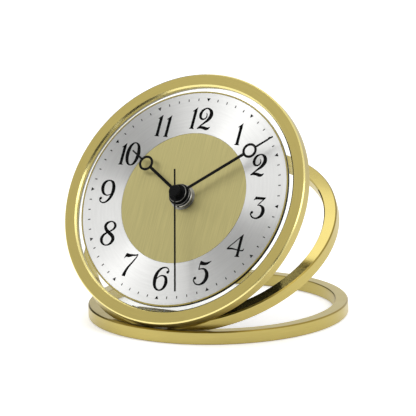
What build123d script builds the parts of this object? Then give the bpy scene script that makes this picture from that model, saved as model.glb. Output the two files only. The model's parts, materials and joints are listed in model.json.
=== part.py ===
from build123d import *
import os
from math import asin, atan2, cos, degrees, hypot, pi, radians, sin

# Folding table clock: three equal brass rings fanned out from one hinge at the bottom front.
# Millimetres. Origin on the table under the base ring's centre, X along the hinge, -Y to the front, +Z up.
# The rings and the clock head are made lying folded on the base, then tilted about the hinge.

# One overrun for every cut, and the clearances that fits share
overrun = 1.0
running_clearance = 0.05
fit_clearance = 0.02
screw_clearance = 0.05

# The three rings
ring_outer_radius = 75.0
ring_width = 7.6
ring_thickness = 7.4
stack_gap = 0.3
edge_chamfer = 0.7
lip_bevel = 1.0
back_chamfer = 0.8
soft_edge = 0.4

# Felt ring let into the base ring's underside
felt_width = 4.0
felt_thickness = 0.8
felt_proud = 0.3
felt_side_gap = 0.1

# Hinge axis, from the rings' inner wall and the folded front ring's back face
hinge_inset = 1.45
hinge_drop = 0.82
stop_clearance = 0.33
middle_tilt_share = 0.5114

# Hinge pin and knuckles
pin_radius = 0.9
pin_head_radius = 1.6
pin_head_length = 0.9
pin_clearance = 0.03
knuckle_radius = 1.9
head_knuckle_length = 8.0
ear_length = 4.0
middle_knuckle_length = 3.9
friction_washer_thickness = 0.4
knuckle_side_gap = 0.05

# Base hinge bracket, on the base ring's inner wall
foot_half_width = 20.0
foot_margin = 0.6
bracket_screw_inset = 5.5

# Middle ring's end gap and hinge tabs
middle_gap_clearance = 0.8
tab_reach = 20.5
tab_margin = 0.9
tab_top_drop = 2.5
tab_screw_inset = 3.5
scallop_gap = 0.3
scallop_end_gap = 0.5
relief_gap = 0.3

# Front ring's hinge tab
head_tab_thickness = 2.0
head_tab_half_width = 8.6
head_tab_start = 2.9
head_tab_reach = 7.05
head_tab_screw_inset = 2.3
head_tab_screw_reach = 5.35

# Small screws, with cheese heads or countersunk heads
screw_radius = 0.8
screw_head_radius = 1.4
screw_head_height = 0.8
screw_grip = 3.0
wall_screw_lift = 0.04

# Glass, held in the front ring's rebate by a snap ring
lip_width = 2.6
glass_thickness = 2.6
glass_side_gap = 0.2
snap_thickness = 1.1
snap_width = 2.9
snap_groove_depth = 1.0
snap_play = 0.1
groove_wall = 0.6
snap_gap_half = 16.0

# Dial: plate with a raised rim, chapter ring and centre disc on it
dial_gap = 2.9
dial_thickness = 1.4
rim_width = 0.8
rim_height = 0.6
leaf_thickness = 0.5
leaf_gap = 0.1
centre_disc_share = 0.603
dial_edge_chamfer = 0.15

# Fixing at the dial's centre
bush_radius = 4.0
bush_hole_gap = 0.1
bush_flange_radius = 6.0
bush_flange_thickness = 0.8
bush_show = 0.2
nut_radius = 6.6
nut_slot_width = 1.4
nut_slot_depth = 1.0
nut_thickness = 2.4
nut_chamfer = 0.35
nut_washer_radius = 7.4
nut_washer_thickness = 0.4
rubber_washer_radius = 8.5
rubber_washer_thickness = 0.5

# Hands: blades lie at their own heights over the dial face
blade_thickness = 0.5
collar_below = 0.25
collar_height = 1.6
collar_chamfer = 0.3
hour_lift = 3.7
hour_angle = 302.4
hour_overlap = 5.7
hour_tip_length = 12.7
hour_ring_outer = 4.45
hour_ring_inner = 3.1
hour_rod_width = 1.75
hour_neck_width = 1.2
hour_tip_width = 0.8
hour_collar_radius = 6.5
minute_lift = 5.9
minute_angle = 52.35
minute_tip_gap = 1.7
minute_tip_length = 15.3
minute_ring_outer = 4.35
minute_ring_inner = 3.0
minute_rod_width = 1.65
minute_neck_width = 1.15
minute_tip_width = 0.75
minute_collar_radius = 5.4
second_lift = 10.4
second_angle = 164.0
second_tip_gap = 4.4
second_tail = 13.4
second_width = 1.0
second_blade_thickness = 0.3
second_boss_radius = 3.0
second_boss_drop = 2.8
cap_radius = 3.5
cap_height = 0.7
cap_round = 0.35

# Movement case
case_wall = 1.2
case_corner = 2.0
bay_play = 0.6
bay_wall = 1.0
bay_floor = 0.8
post_radius = 2.0
post_inset = 3.8
post_bay_gap = 2.8
pivot_depth = 0.7
plate_rear_gap = 1.5
cell_back_gap = 0.2

# Gear train, one wheel level behind the other
wheel_thickness = 0.8
level_gap = 0.2
second_arbor_radius = 0.5
minute_tube_radius = 1.5
hour_tube_radius = 2.5
pivot_radius = 0.4
stud_radius = 0.5
third_reach = 9.0
third_bearing = 100.0
intermediate_reach = 9.0
intermediate_bearing = -10.0
rotor_reach = 7.2
rotor_bearing = 30.0
motion_reach = 7.2
motion_bearing = 200.0
knob_reach = 7.2
knob_bearing = 180.0
knob_shaft_radius = 1.0
knob_radius = 5.2
knob_hole_gap = 0.4
knob_proud = 0.8
knob_thickness = 1.9
knob_groove_radius = 0.45
knob_groove_count = 18
second_wheel_teeth = 48
second_pinion_teeth = 8
third_wheel_teeth = 60
third_pinion_teeth = 8
centre_wheel_teeth = 64
cannon_teeth = 12
motion_wheel_teeth = 36
motion_pinion_teeth = 10
hour_wheel_teeth = 40
intermediate_wheel_teeth = 40
intermediate_pinion_teeth = 8
rotor_pinion_teeth = 8
knob_pinion_teeth = 12

# Tooth form, as shares of the module and of the angle from tooth to tooth
addendum_share = 0.75
dedendum_share = 1.15
root_width_share = 0.52
pitch_width_share = 0.36
tip_width_share = 0.12

# Gear plate, on posts behind the wheels
plate_thickness = 0.8
plate_gap = 0.5
plate_coil_gap = 0.7
plate_low_gap = 0.5
plate_board_gap = 1.9
plate_post_radius = 1.6
plate_post_places_shares = ((-0.914, 0.732), (0.457, 0.968), (0.928, 0.091))

# Motor: rotor magnet, stator, coil core, bobbin and winding
magnet_radius = 1.6
magnet_thickness = 2.0
stator_hole_gap = 0.6
stator_width = 7.0
stator_thickness = 1.2
stator_low = 6.0
stator_height = 22.0
stator_ear_width = 2.0
stator_reach = 13.0
core_width = 3.0
core_thickness = 1.2
bobbin_half_width = 3.4
bobbin_half_depth = 2.0
bobbin_tube_wall = 0.4
bobbin_flange = 0.8
bobbin_end_gap = 0.2
winding_inset = 0.4
coil_wall_gap = 0.29

# Circuit board with its chip and crystal
board_width = 33.0
board_height = 6.6
board_thickness = 1.0
board_top_gap = 0.6
board_side_gap = 1.2
board_wheel_gap = 2.5
board_drop = 4.0
board_post_radius = 1.6
board_post_inset = 2.6
chip_size = 4.0
chip_thickness = 0.9
chip_across = 11.0
crystal_radius = 1.0
crystal_length = 6.0
crystal_across = 20.0

# Battery and its contacts
cell_radius = 7.0
cell_length = 49.2
cell_nub_radius = 2.6
cell_nub_length = 1.1
cell_edge = 0.6
cell_spring_room = 2.5
contact_thickness = 0.4
contact_width = 9.0
contact_height = 10.0
leaf_spring_share = 0.7

# Rings and hinge, worked out from the sizes above
ring_inner_radius = ring_outer_radius - ring_width
ring_mid_radius = (ring_inner_radius + ring_outer_radius) / 2
base_bottom = felt_proud
base_top = base_bottom + ring_thickness
middle_bottom = base_top + stack_gap
middle_top = middle_bottom + ring_thickness
front_back = middle_top + stack_gap
front_face = front_back + ring_thickness
hinge_y = -(ring_inner_radius - hinge_inset)
hinge_z = front_back - hinge_drop
hinge_axis = Axis((0, hinge_y, hinge_z), (1, 0, 0))

# The head stops where its lower rear edge comes down to the base ring's top
stop_across = -(ring_outer_radius + hinge_y)
stop_rise = hinge_drop + back_chamfer
stop_drop = base_top + stop_clearance - hinge_z
head_tilt = 180 + degrees(asin(-stop_drop / hypot(stop_across, stop_rise)) - atan2(stop_rise, stop_across))
middle_tilt = head_tilt * middle_tilt_share

# Stations along the hinge pin and across its tabs, from the middle outwards
ear_start = head_knuckle_length / 2 + friction_washer_thickness + 2 * knuckle_side_gap
ear_end = ear_start + ear_length
middle_knuckle_start = ear_end + friction_washer_thickness + 2 * knuckle_side_gap
middle_knuckle_end = middle_knuckle_start + middle_knuckle_length
pin_end = middle_knuckle_end + knuckle_side_gap
knuckle_bore = pin_radius + pin_clearance
middle_gap_half = ear_end + middle_gap_clearance
bracket_screw_across = foot_half_width - bracket_screw_inset
tab_screw_across = tab_reach - tab_screw_inset
head_tab_screw_across = head_tab_half_width - head_tab_screw_inset

# Depths in the clock head, from the front ring's face backwards
lip_depth = ring_thickness - glass_thickness - snap_thickness - snap_play - groove_wall
glass_front = -lip_depth
glass_back = glass_front - glass_thickness
snap_back = glass_back - snap_thickness
leaf_back = glass_front + dial_thickness
dial_face = leaf_back + leaf_thickness
nut_back = dial_face + nut_washer_thickness
nut_front = nut_back + nut_thickness
bush_front = nut_front + bush_show
case_front = glass_back - rubber_washer_thickness
case_inside = case_front - case_wall
hour_blade = dial_face + hour_lift
minute_blade = dial_face + minute_lift
second_blade = dial_face + second_lift
second_boss_back = second_blade - second_boss_drop

# Radii in the clock head, and how far the hands reach
glass_radius = ring_inner_radius + lip_width
rebate_radius = glass_radius + glass_side_gap
groove_radius = rebate_radius + snap_groove_depth
snap_outer_radius = groove_radius - snap_play
snap_gap_angle = 2 * degrees(asin(snap_gap_half / snap_outer_radius))
bush_hole = bush_radius + bush_hole_gap
dial_radius = ring_inner_radius - dial_gap
centre_disc_radius = dial_radius * centre_disc_share
chapter_inner_radius = centre_disc_radius + leaf_gap
chapter_outer_radius = dial_radius - rim_width - leaf_gap
hour_length = chapter_inner_radius + hour_overlap
hour_ring_centre = hour_length - hour_tip_length
minute_length = dial_radius - minute_tip_gap
minute_ring_centre = minute_length - minute_tip_length
second_length = dial_radius - second_tip_gap

# Levels of the gear train, counted backwards from the hour wheel
first_level = case_inside - bush_flange_thickness - level_gap


def level(number):
    """Front of a wheel level."""
    return first_level - number * (wheel_thickness + level_gap)


magnet_front = level(6)
plate_front = magnet_front - magnet_thickness - plate_gap
plate_back = plate_front - plate_thickness
pivot_front = case_inside + pivot_depth
pinion_thickness = wheel_thickness + level_gap


def bearing_point(start, reach, bearing):
    """Point at a reach and bearing, in degrees, from a start point."""
    return (start[0] + reach * cos(radians(bearing)), start[1] + reach * sin(radians(bearing)))


def module_for(reach, teeth_a, teeth_b):
    """Module of two wheels whose centres are a reach apart."""
    return 2 * reach / (teeth_a + teeth_b)


# Places and tooth modules of the gear train and the motor
centre = (0, 0)
third_place = bearing_point(centre, third_reach, third_bearing)
intermediate_place = bearing_point(centre, intermediate_reach, intermediate_bearing)
rotor_place = bearing_point(intermediate_place, rotor_reach, rotor_bearing)
motion_place = bearing_point(centre, motion_reach, motion_bearing)
knob_place = bearing_point(motion_place, knob_reach, knob_bearing)
plate_pivot_places = (third_place, intermediate_place, rotor_place)
second_to_third = module_for(third_reach, second_pinion_teeth, third_wheel_teeth)
third_to_centre = module_for(third_reach, third_pinion_teeth, centre_wheel_teeth)
second_to_intermediate = module_for(intermediate_reach, second_wheel_teeth, intermediate_pinion_teeth)
intermediate_to_rotor = module_for(rotor_reach, intermediate_wheel_teeth, rotor_pinion_teeth)
cannon_to_motion = module_for(motion_reach, cannon_teeth, motion_wheel_teeth)
motion_to_hour = module_for(motion_reach, motion_pinion_teeth, hour_wheel_teeth)
motion_to_knob = module_for(knob_reach, motion_wheel_teeth, knob_pinion_teeth)
stator_left = rotor_place[0] - stator_width / 2
stator_bottom = rotor_place[1] - stator_low
stator_top = stator_bottom + stator_height
stator_front = plate_front + stator_thickness
core_mid_x = stator_left + stator_reach - core_width / 2
coil_mid_y = (stator_bottom + stator_top) / 2
coil_mid_z = stator_front + core_thickness / 2

# The movement case is as wide as the cell, the coil and the wheels need, and as deep as cell and train
cell_room = cell_length + cell_nub_length + cell_spring_room + 2 * contact_thickness
coil_room = core_mid_x + bobbin_half_width + coil_wall_gap
third_wheel_top = third_place[1] + second_to_third * (third_wheel_teeth / 2 + addendum_share)
board_room = third_wheel_top + board_wheel_gap + board_height + board_top_gap
case_half = max(cell_room / 2, coil_room, board_room) + case_wall
case_size = 2 * case_half
cell_depth = bay_floor + 2 * cell_radius + cell_back_gap
train_depth = case_front - plate_back + screw_head_height + plate_rear_gap + case_wall
case_back = case_front - max(cell_depth, train_depth)
case_back_inside = case_back + case_wall
bay_height = 2 * cell_radius + bay_play
bay_top = -case_half + case_wall + bay_height
bay_wall_top = bay_top + bay_wall
post_side = case_half - post_inset
case_post_places = [(side * post_side, y) for side in (-1, 1)
                    for y in (post_side, bay_wall_top + post_bay_gap)]

# Places of the board, the gear plate and the cell in the case
board_left = post_side - post_radius - board_side_gap
board_low = case_half - case_wall - board_top_gap - board_height
board_mid_y = board_low + board_height / 2
board_front = case_inside - board_drop
board_back = board_front - board_thickness
board_post_places = [(-board_left + board_post_inset, board_mid_y),
                     (board_width - board_left - board_post_inset, board_mid_y)]
plate_half_width = core_mid_x - bobbin_half_width - plate_coil_gap
plate_low = bay_wall_top + plate_low_gap
plate_height = board_low - plate_board_gap - plate_low
plate_post_places = [(plate_half_width * x_share, plate_low + plate_height * y_share)
                     for x_share, y_share in plate_post_places_shares]
cell_y = bay_top - bay_height / 2
cell_z = case_front - bay_floor - fit_clearance - cell_radius
cell_end = case_half - case_wall - contact_thickness


def section_face(points, plane=Plane.XZ):
    """Flat face inside a closed outline."""
    return make_face(plane * Polyline(*points, close=True))


def turned(points, arc=360.0, start=0.0):
    """Ring turned about Z from an outline of radius and height, over an arc from a start angle."""
    return Rot(0, 0, start) * revolve(section_face(points), Axis.Z, arc)


def washer(inner, outer, low, high):
    """Flat ring between two heights."""
    return turned([(inner, low), (outer, low), (outer, high), (inner, high)])


def rod(radius, low, high, place=(0, 0)):
    """Cylinder along Z between two heights."""
    return Pos(place[0], place[1], (low + high) / 2) * Cylinder(radius, high - low)


def block(x_from, x_to, y_from, y_to, z_from, z_to):
    """Box between two corners."""
    middle = Pos((x_from + x_to) / 2, (y_from + y_to) / 2, (z_from + z_to) / 2)
    return middle * Box(abs(x_to - x_from), abs(y_to - y_from), abs(z_to - z_from))


def barrel(radius, x_from, x_to):
    """Cylinder along the hinge axis between two stations."""
    middle = Pos((x_from + x_to) / 2, hinge_y, hinge_z)
    return middle * Rot(0, 90, 0) * Cylinder(radius, abs(x_to - x_from))


def wall_block(reach_from, reach_to, depth, low, high, side=0):
    """Block on the rings' inner wall at the front, between two stations across, on one side or both."""
    curve = washer(ring_inner_radius - depth, ring_inner_radius, low, high)
    x_from = side * reach_from if side else -reach_to
    x_to = side * reach_to if side else reach_to
    window = block(x_from, x_to, -ring_outer_radius, -ring_inner_radius / 2, low - overrun, high + overrun)
    return curve & window


def radial(shape, across, radius, height):
    """Shape along Z turned to point outwards through the front wall, at a station across and a height."""
    angle = asin(across / radius)
    place = Pos(radius * sin(angle), -radius * cos(angle), height)
    return place * Rot(0, 0, degrees(angle)) * Rot(90, 0, 0) * shape


def cheese_screw(grip):
    """Screw along Z with its head below zero and its shank above."""
    return rod(screw_head_radius, -screw_head_height, 0) + rod(screw_radius, 0, grip)


def countersunk_screw(grip):
    """Screw along Z with a flush countersunk head that starts at zero."""
    return turned([(0, 0), (screw_head_radius, 0), (screw_radius, screw_head_height), (screw_radius, grip),
                   (0, grip)])


def countersunk_hole(grip):
    """Hole for a countersunk screw, a clearance wider all over."""
    wide = screw_head_radius + screw_clearance
    narrow = screw_radius + screw_clearance
    return turned([(0, -overrun), (wide, -overrun), (wide, 0), (narrow, screw_head_height), (narrow, grip),
                   (0, grip)])


def screw_hole(grip):
    """Plain hole for a screw's shank."""
    return rod(screw_radius + screw_clearance, -overrun, grip)


def group(shapes):
    """Several loose pieces in one node."""
    return Compound(children=list(shapes))


def tilted(shape, angle):
    """Shape swung up about the hinge from the folded stack."""
    return shape.rotate(hinge_axis, angle)


def plain_ring(low, high, inner_chamfer):
    """Square-section ring with softened lower edges and a chamfered top."""
    inner, outer = ring_inner_radius, ring_outer_radius
    return turned([
        (inner, low + soft_edge), (inner + soft_edge, low), (outer - soft_edge, low),
        (outer, low + soft_edge), (outer, high - edge_chamfer), (outer - edge_chamfer, high),
        (inner + inner_chamfer, high), (inner, high - inner_chamfer),
    ])


def on_head(shape):
    """Piece of the clock head, from the head's own frame to its place at rest."""
    return tilted(Pos(0, 0, front_face) * shape, head_tilt)


# Base ring, felt and hinge bracket


def bracket_screw_places():
    return [side * bracket_screw_across for side in (-1, 1)]


foot_depth = hinge_inset + knuckle_radius
foot_low = base_bottom + foot_margin
foot_high = base_top - foot_margin
foot_mid = (foot_low + foot_high) / 2
wall_screw_grip = foot_depth + screw_grip


def base_ring():
    ring = plain_ring(base_bottom, base_top, soft_edge)
    ring -= felt_band(felt_side_gap, -overrun)
    for across in bracket_screw_places():
        ring -= radial(screw_hole(wall_screw_grip), across, ring_inner_radius - foot_depth, foot_mid)
    return ring


def felt_band(side_gap, low):
    reach = felt_width / 2 + side_gap
    return washer(ring_mid_radius - reach, ring_mid_radius + reach, low, felt_thickness)


def base_felt_ring():
    return felt_band(0, 0)


def base_hinge_bracket():
    bracket = wall_block(0, foot_half_width, foot_depth, foot_low, foot_high)
    for side in (-1, 1):
        x_from, x_to = side * ear_start, side * ear_end
        bracket += block(x_from, x_to, hinge_y, hinge_y + knuckle_radius, foot_low, hinge_z)
        bracket += barrel(knuckle_radius, x_from, x_to)
    bracket -= barrel(knuckle_bore, -ear_end - overrun, ear_end + overrun)
    for across in bracket_screw_places():
        bracket -= radial(screw_hole(wall_screw_grip), across, ring_inner_radius - foot_depth, foot_mid)
    return bracket


def base_bracket_screws():
    screw = cheese_screw(wall_screw_grip - overrun)
    return group(radial(screw, across, ring_inner_radius - foot_depth - wall_screw_lift, foot_mid)
                 for across in bracket_screw_places())


def hinge_pin():
    return barrel(pin_radius, -pin_end, pin_end + pin_head_length) + barrel(
        pin_head_radius, -pin_end - pin_head_length, -pin_end)


def hinge_pin_cap():
    cap = barrel(pin_head_radius, pin_end, pin_end + pin_head_length)
    return cap - barrel(pin_radius + fit_clearance, pin_end - overrun, pin_end + pin_head_length + overrun)


def hinge_friction_washers():
    starts = [head_knuckle_length / 2 + knuckle_side_gap, ear_end + knuckle_side_gap]
    rings = []
    for side in (-1, 1):
        for start in starts:
            end = start + friction_washer_thickness
            ring = barrel(knuckle_radius, side * start, side * end)
            rings.append(ring - barrel(knuckle_bore, side * (start - overrun), side * (end + overrun)))
    return group(rings)


# Middle ring with its two hinge knuckles

tab_depth = hinge_inset + knuckle_radius
tab_low = middle_bottom + tab_margin
tab_high = hinge_z - tab_top_drop
tab_mid = (tab_low + tab_high) / 2


def middle_ring():
    ring = plain_ring(middle_bottom, middle_top, edge_chamfer)
    reach = 2 * ring_outer_radius
    ring -= block(-middle_gap_half, middle_gap_half, -reach, 0, -reach, reach)
    # flats that let the ends come down on the base ring and let the front ring lean on them
    under = block(-reach, reach, -reach, reach, -reach, base_top + relief_gap)
    ring -= tilted(under, -middle_tilt)
    front = block(-reach, reach, -reach, reach, front_back - relief_gap, front_back + reach)
    ring -= tilted(front, head_tilt - middle_tilt)
    scallop_end = pin_end + pin_head_length + scallop_end_gap
    ring -= barrel(knuckle_radius + scallop_gap, -scallop_end, scallop_end)
    for side in (-1, 1):
        ring -= radial(screw_hole(wall_screw_grip), side * tab_screw_across,
                       ring_inner_radius - tab_depth, tab_mid)
    return tilted(ring, middle_tilt)


def middle_hinge_knuckle(side):
    x_from, x_to = side * middle_knuckle_start, side * middle_knuckle_end
    knuckle = wall_block(middle_knuckle_start, tab_reach, tab_depth, tab_low, tab_high, side)
    knuckle += block(x_from, x_to, hinge_y, hinge_y + knuckle_radius, tab_mid, hinge_z)
    knuckle += barrel(knuckle_radius, x_from, x_to)
    knuckle -= barrel(knuckle_bore, x_from - side * overrun, x_to + side * overrun)
    knuckle -= radial(screw_hole(wall_screw_grip), side * tab_screw_across,
                      ring_inner_radius - tab_depth, tab_mid)
    return tilted(knuckle, middle_tilt)


def middle_knuckle_screws():
    screw = cheese_screw(wall_screw_grip - overrun)
    seat = ring_inner_radius - tab_depth - wall_screw_lift
    return group(tilted(radial(screw, side * tab_screw_across, seat, tab_mid), middle_tilt)
                 for side in (-1, 1))


# Front ring, its hinge knuckle, the glass and the snap ring

head_tab_back = -ring_thickness - head_tab_thickness
head_tab_screw_y = hinge_y - head_tab_screw_reach
head_tab_grip = head_tab_thickness + screw_grip


def head_tab_screw_places():
    return [Pos(side * head_tab_screw_across, head_tab_screw_y, head_tab_back) for side in (-1, 1)]


def front_ring():
    inner, outer, back = ring_inner_radius, ring_outer_radius, -ring_thickness
    ring = turned([
        (inner, -lip_bevel), (inner + lip_bevel, 0), (outer - edge_chamfer, 0), (outer, -edge_chamfer),
        (outer, back + back_chamfer), (outer - back_chamfer, back), (rebate_radius, back),
        (rebate_radius, glass_front), (inner, glass_front),
    ])
    groove_back = snap_back - snap_play
    groove = [(rebate_radius - overrun, groove_back), (groove_radius, groove_back),
              (groove_radius, glass_back), (rebate_radius - overrun, glass_back)]
    ring -= turned(groove, 360 - snap_gap_angle, -90 + snap_gap_angle / 2)
    for place in head_tab_screw_places():
        ring -= place * screw_hole(head_tab_grip)
    return ring


def glass_disc():
    return washer(bush_hole, glass_radius, glass_back, glass_front)


def glass_snap_ring():
    inner = snap_outer_radius - snap_width
    outline = [(inner, snap_back), (snap_outer_radius, snap_back), (snap_outer_radius, glass_back),
               (inner, glass_back)]
    margin = degrees(snap_play / snap_outer_radius)
    return turned(outline, 360 - snap_gap_angle - 2 * margin, -90 + snap_gap_angle / 2 + margin)


def head_hinge_knuckle():
    half = head_knuckle_length / 2
    drop = front_face
    knuckle = Pos(0, 0, -drop) * barrel(knuckle_radius, -half, half)
    outer_y = hinge_y - head_tab_reach
    knuckle += block(-half, half, outer_y, hinge_y, head_tab_back, -ring_thickness)
    knuckle += block(-head_tab_half_width, head_tab_half_width, outer_y, hinge_y - head_tab_start,
                     head_tab_back, -ring_thickness)
    knuckle -= Pos(0, 0, -drop) * barrel(knuckle_bore, -half - overrun, half + overrun)
    for place in head_tab_screw_places():
        knuckle -= place * countersunk_hole(head_tab_grip)
    return knuckle


def head_knuckle_screws():
    return group(place * countersunk_screw(head_tab_grip - overrun) for place in head_tab_screw_places())


# Dial


def dial_plate():
    rim_inner = dial_radius - rim_width
    rim_top = leaf_back + rim_height
    return turned([
        (bush_hole, glass_front), (dial_radius - dial_edge_chamfer, glass_front),
        (dial_radius, glass_front + dial_edge_chamfer), (dial_radius, rim_top - dial_edge_chamfer),
        (dial_radius - dial_edge_chamfer, rim_top), (rim_inner, rim_top), (rim_inner, leaf_back),
        (bush_hole, leaf_back),
    ])


def dial_chapter_ring():
    return washer(chapter_inner_radius, chapter_outer_radius, leaf_back, dial_face)


def dial_centre_disc():
    return washer(bush_hole, centre_disc_radius, leaf_back, dial_face)


# Fixing at the centre


def centre_bush():
    bore = hour_tube_radius + running_clearance
    flange_back = case_inside - bush_flange_thickness
    return turned([
        (bore, flange_back), (bush_flange_radius, flange_back), (bush_flange_radius, case_inside),
        (bush_radius, case_inside), (bush_radius, bush_front), (bore, bush_front),
    ])


def centre_nut():
    """Round nut with a spanner slot across its front."""
    bore = bush_radius + fit_clearance
    nut = turned([(bore, nut_back), (nut_radius, nut_back), (nut_radius, nut_front - nut_chamfer),
                  (nut_radius - nut_chamfer, nut_front), (bore, nut_front)])
    half, reach = nut_slot_width / 2, nut_radius + overrun
    return nut - block(-half, half, -reach, reach, nut_front - nut_slot_depth, nut_front + overrun)


def centre_washer():
    return washer(bush_hole, nut_washer_radius, dial_face, nut_back)


def rubber_washer():
    return washer(bush_hole, rubber_washer_radius, case_front, glass_back)


# Hands


def hand_blade(length, ring_centre, ring_outer, ring_inner, rod_width, neck_width, tip_width, back):
    """Hand pointing to +Y: rod, open ring and thinner tip."""
    inside = ring_centre - (ring_outer + ring_inner) / 2
    outside = ring_centre + (ring_outer + ring_inner) / 2
    half, neck_half, tip_half = rod_width / 2, neck_width / 2, tip_width / 2
    stem = section_face([(-half, 0), (half, 0), (half, inside), (-half, inside)], Plane.XY)
    tip = section_face([(-neck_half, outside), (neck_half, outside), (tip_half, length), (-tip_half, length)],
                       Plane.XY)
    loop = Pos(0, ring_centre) * (Circle(ring_outer) - Circle(ring_inner))
    return extrude(Pos(0, 0, back) * (stem + tip + loop), blade_thickness)


def hand_with_collar(blade, back, collar_radius, tube_radius, angle):
    """Blade joined to a chamfered collar, bored for its tube and turned clockwise from twelve."""
    low = back - collar_below
    high = low + collar_height
    collar = turned([(0, low), (collar_radius, low), (collar_radius, high - collar_chamfer),
                     (collar_radius - collar_chamfer, high), (0, high)])
    bore = rod(tube_radius + fit_clearance, low - overrun, high + overrun)
    return Rot(0, 0, -angle) * (blade + collar - bore)


def hour_hand():
    blade = hand_blade(hour_length, hour_ring_centre, hour_ring_outer, hour_ring_inner,
                       hour_rod_width, hour_neck_width, hour_tip_width, hour_blade)
    return hand_with_collar(blade, hour_blade, hour_collar_radius, hour_tube_radius, hour_angle)


def minute_hand():
    blade = hand_blade(minute_length, minute_ring_centre, minute_ring_outer, minute_ring_inner,
                       minute_rod_width, minute_neck_width, minute_tip_width, minute_blade)
    return hand_with_collar(blade, minute_blade, minute_collar_radius, minute_tube_radius, minute_angle)


def second_hand():
    half = second_width / 2
    front = second_blade + second_blade_thickness
    hand = block(-half, half, -second_tail, second_length, second_blade, front)
    hand += rod(second_boss_radius, second_boss_back, front)
    hand -= rod(second_arbor_radius + fit_clearance, second_boss_back - overrun, front + overrun)
    return Rot(0, 0, -second_angle) * hand


def second_hand_cap():
    low = second_blade + second_blade_thickness
    high = low + cap_height
    return turned([(0, low), (cap_radius, low), (cap_radius, high - cap_round),
                   (cap_radius - cap_round, high), (0, high)])


# Gear train


def gear_outline(teeth, module, phase):
    """Outline of a toothed wheel with straight-flanked teeth, one tooth centred on the phase angle."""
    step = 2 * pi / teeth
    pitch = module * teeth / 2
    root = pitch - dedendum_share * module
    tip = pitch + addendum_share * module
    profile = [(root, -root_width_share), (pitch, -pitch_width_share), (tip, -tip_width_share),
               (tip, tip_width_share), (pitch, pitch_width_share), (root, root_width_share)]
    points = []
    for tooth in range(teeth):
        for radius, share in profile:
            angle = phase + step * (tooth + share / 2)
            points.append((radius * cos(angle), radius * sin(angle)))
    return points


def gear(teeth, module, front, phase, place, thickness=wheel_thickness):
    """Toothed wheel with its front face at a height."""
    face = section_face(gear_outline(teeth, module, phase), Plane.XY)
    return extrude(Pos(place[0], place[1], front - thickness) * face, thickness)


def mesh_phase(driver_teeth, driver_phase, driven_teeth, start, end):
    """Phase that sets a gap of the driven wheel against a tooth of its driver."""
    bearing = atan2(end[1] - start[1], end[0] - start[0])
    return bearing + pi + pi / driven_teeth - driver_teeth / driven_teeth * (driver_phase - bearing)


third_wheel_phase = mesh_phase(second_pinion_teeth, 0, third_wheel_teeth, centre, third_place)
centre_wheel_phase = mesh_phase(third_pinion_teeth, 0, centre_wheel_teeth, third_place, centre)
intermediate_pinion_phase = mesh_phase(second_wheel_teeth, 0, intermediate_pinion_teeth, centre,
                                       intermediate_place)
rotor_phase = mesh_phase(intermediate_wheel_teeth, 0, rotor_pinion_teeth, intermediate_place, rotor_place)
motion_wheel_phase = mesh_phase(cannon_teeth, 0, motion_wheel_teeth, centre, motion_place)
hour_wheel_phase = mesh_phase(motion_pinion_teeth, 0, hour_wheel_teeth, motion_place, centre)
knob_phase = mesh_phase(motion_wheel_teeth, motion_wheel_phase, knob_pinion_teeth, motion_place, knob_place)


def second_wheel():
    wheel = gear(second_wheel_teeth, second_to_intermediate, level(4), 0, centre)
    wheel += gear(second_pinion_teeth, second_to_third, level(3), 0, centre, pinion_thickness)
    front = second_blade + second_blade_thickness
    return wheel + rod(second_arbor_radius, plate_back, front)


def third_wheel():
    wheel = gear(third_wheel_teeth, second_to_third, level(3), third_wheel_phase, third_place)
    wheel += gear(third_pinion_teeth, third_to_centre, level(2), 0, third_place, pinion_thickness)
    return wheel + rod(pivot_radius, plate_back, pivot_front, third_place)


def centre_wheel():
    wheel = gear(centre_wheel_teeth, third_to_centre, level(2), centre_wheel_phase, centre)
    wheel += gear(cannon_teeth, cannon_to_motion, level(1), 0, centre, pinion_thickness)
    tube_front = minute_blade - collar_below + collar_height
    wheel += rod(minute_tube_radius, level(1), tube_front)
    bore = second_arbor_radius + running_clearance
    return wheel - rod(bore, level(3), tube_front + overrun)


def hour_wheel():
    wheel = gear(hour_wheel_teeth, motion_to_hour, level(0), hour_wheel_phase, centre)
    tube_front = hour_blade - collar_below + collar_height
    wheel += rod(hour_tube_radius, level(0), tube_front)
    bore = minute_tube_radius + running_clearance
    return wheel - rod(bore, level(1), tube_front + overrun)


def motion_wheel():
    wheel = gear(motion_wheel_teeth, cannon_to_motion, level(1), motion_wheel_phase, motion_place)
    wheel += gear(motion_pinion_teeth, motion_to_hour, level(0), 0, motion_place, pinion_thickness)
    return wheel - rod(stud_radius + running_clearance, level(2), level(0) + overrun, motion_place)


def intermediate_wheel():
    wheel = gear(intermediate_wheel_teeth, intermediate_to_rotor, level(5), 0, intermediate_place)
    wheel += gear(intermediate_pinion_teeth, second_to_intermediate, level(4), intermediate_pinion_phase,
                  intermediate_place, pinion_thickness)
    return wheel + rod(pivot_radius, plate_back, pivot_front, intermediate_place)


def rotor():
    pinion = gear(rotor_pinion_teeth, intermediate_to_rotor, level(5), rotor_phase, rotor_place,
                  pinion_thickness)
    magnet = rod(magnet_radius, magnet_front - magnet_thickness, magnet_front, rotor_place)
    return pinion + magnet + rod(pivot_radius, plate_back, pivot_front, rotor_place)


def setting_knob():
    pinion = gear(knob_pinion_teeth, motion_to_knob, level(1), knob_phase, knob_place)
    back = case_back - knob_proud
    front = back + knob_thickness
    disc = rod(knob_radius, back, front, knob_place)
    for step in range(knob_groove_count):
        edge = bearing_point(knob_place, knob_radius, 360 / knob_groove_count * step)
        disc -= rod(knob_groove_radius, back - overrun, front + overrun, edge)
    shaft = rod(knob_shaft_radius, front, level(1) - wheel_thickness, knob_place)
    return pinion + disc + shaft + rod(pivot_radius, level(1), pivot_front, knob_place)


# Movement case, gear plate and electrics


def case_outline():
    return RectangleRounded(case_size, case_size, case_corner)


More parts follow.
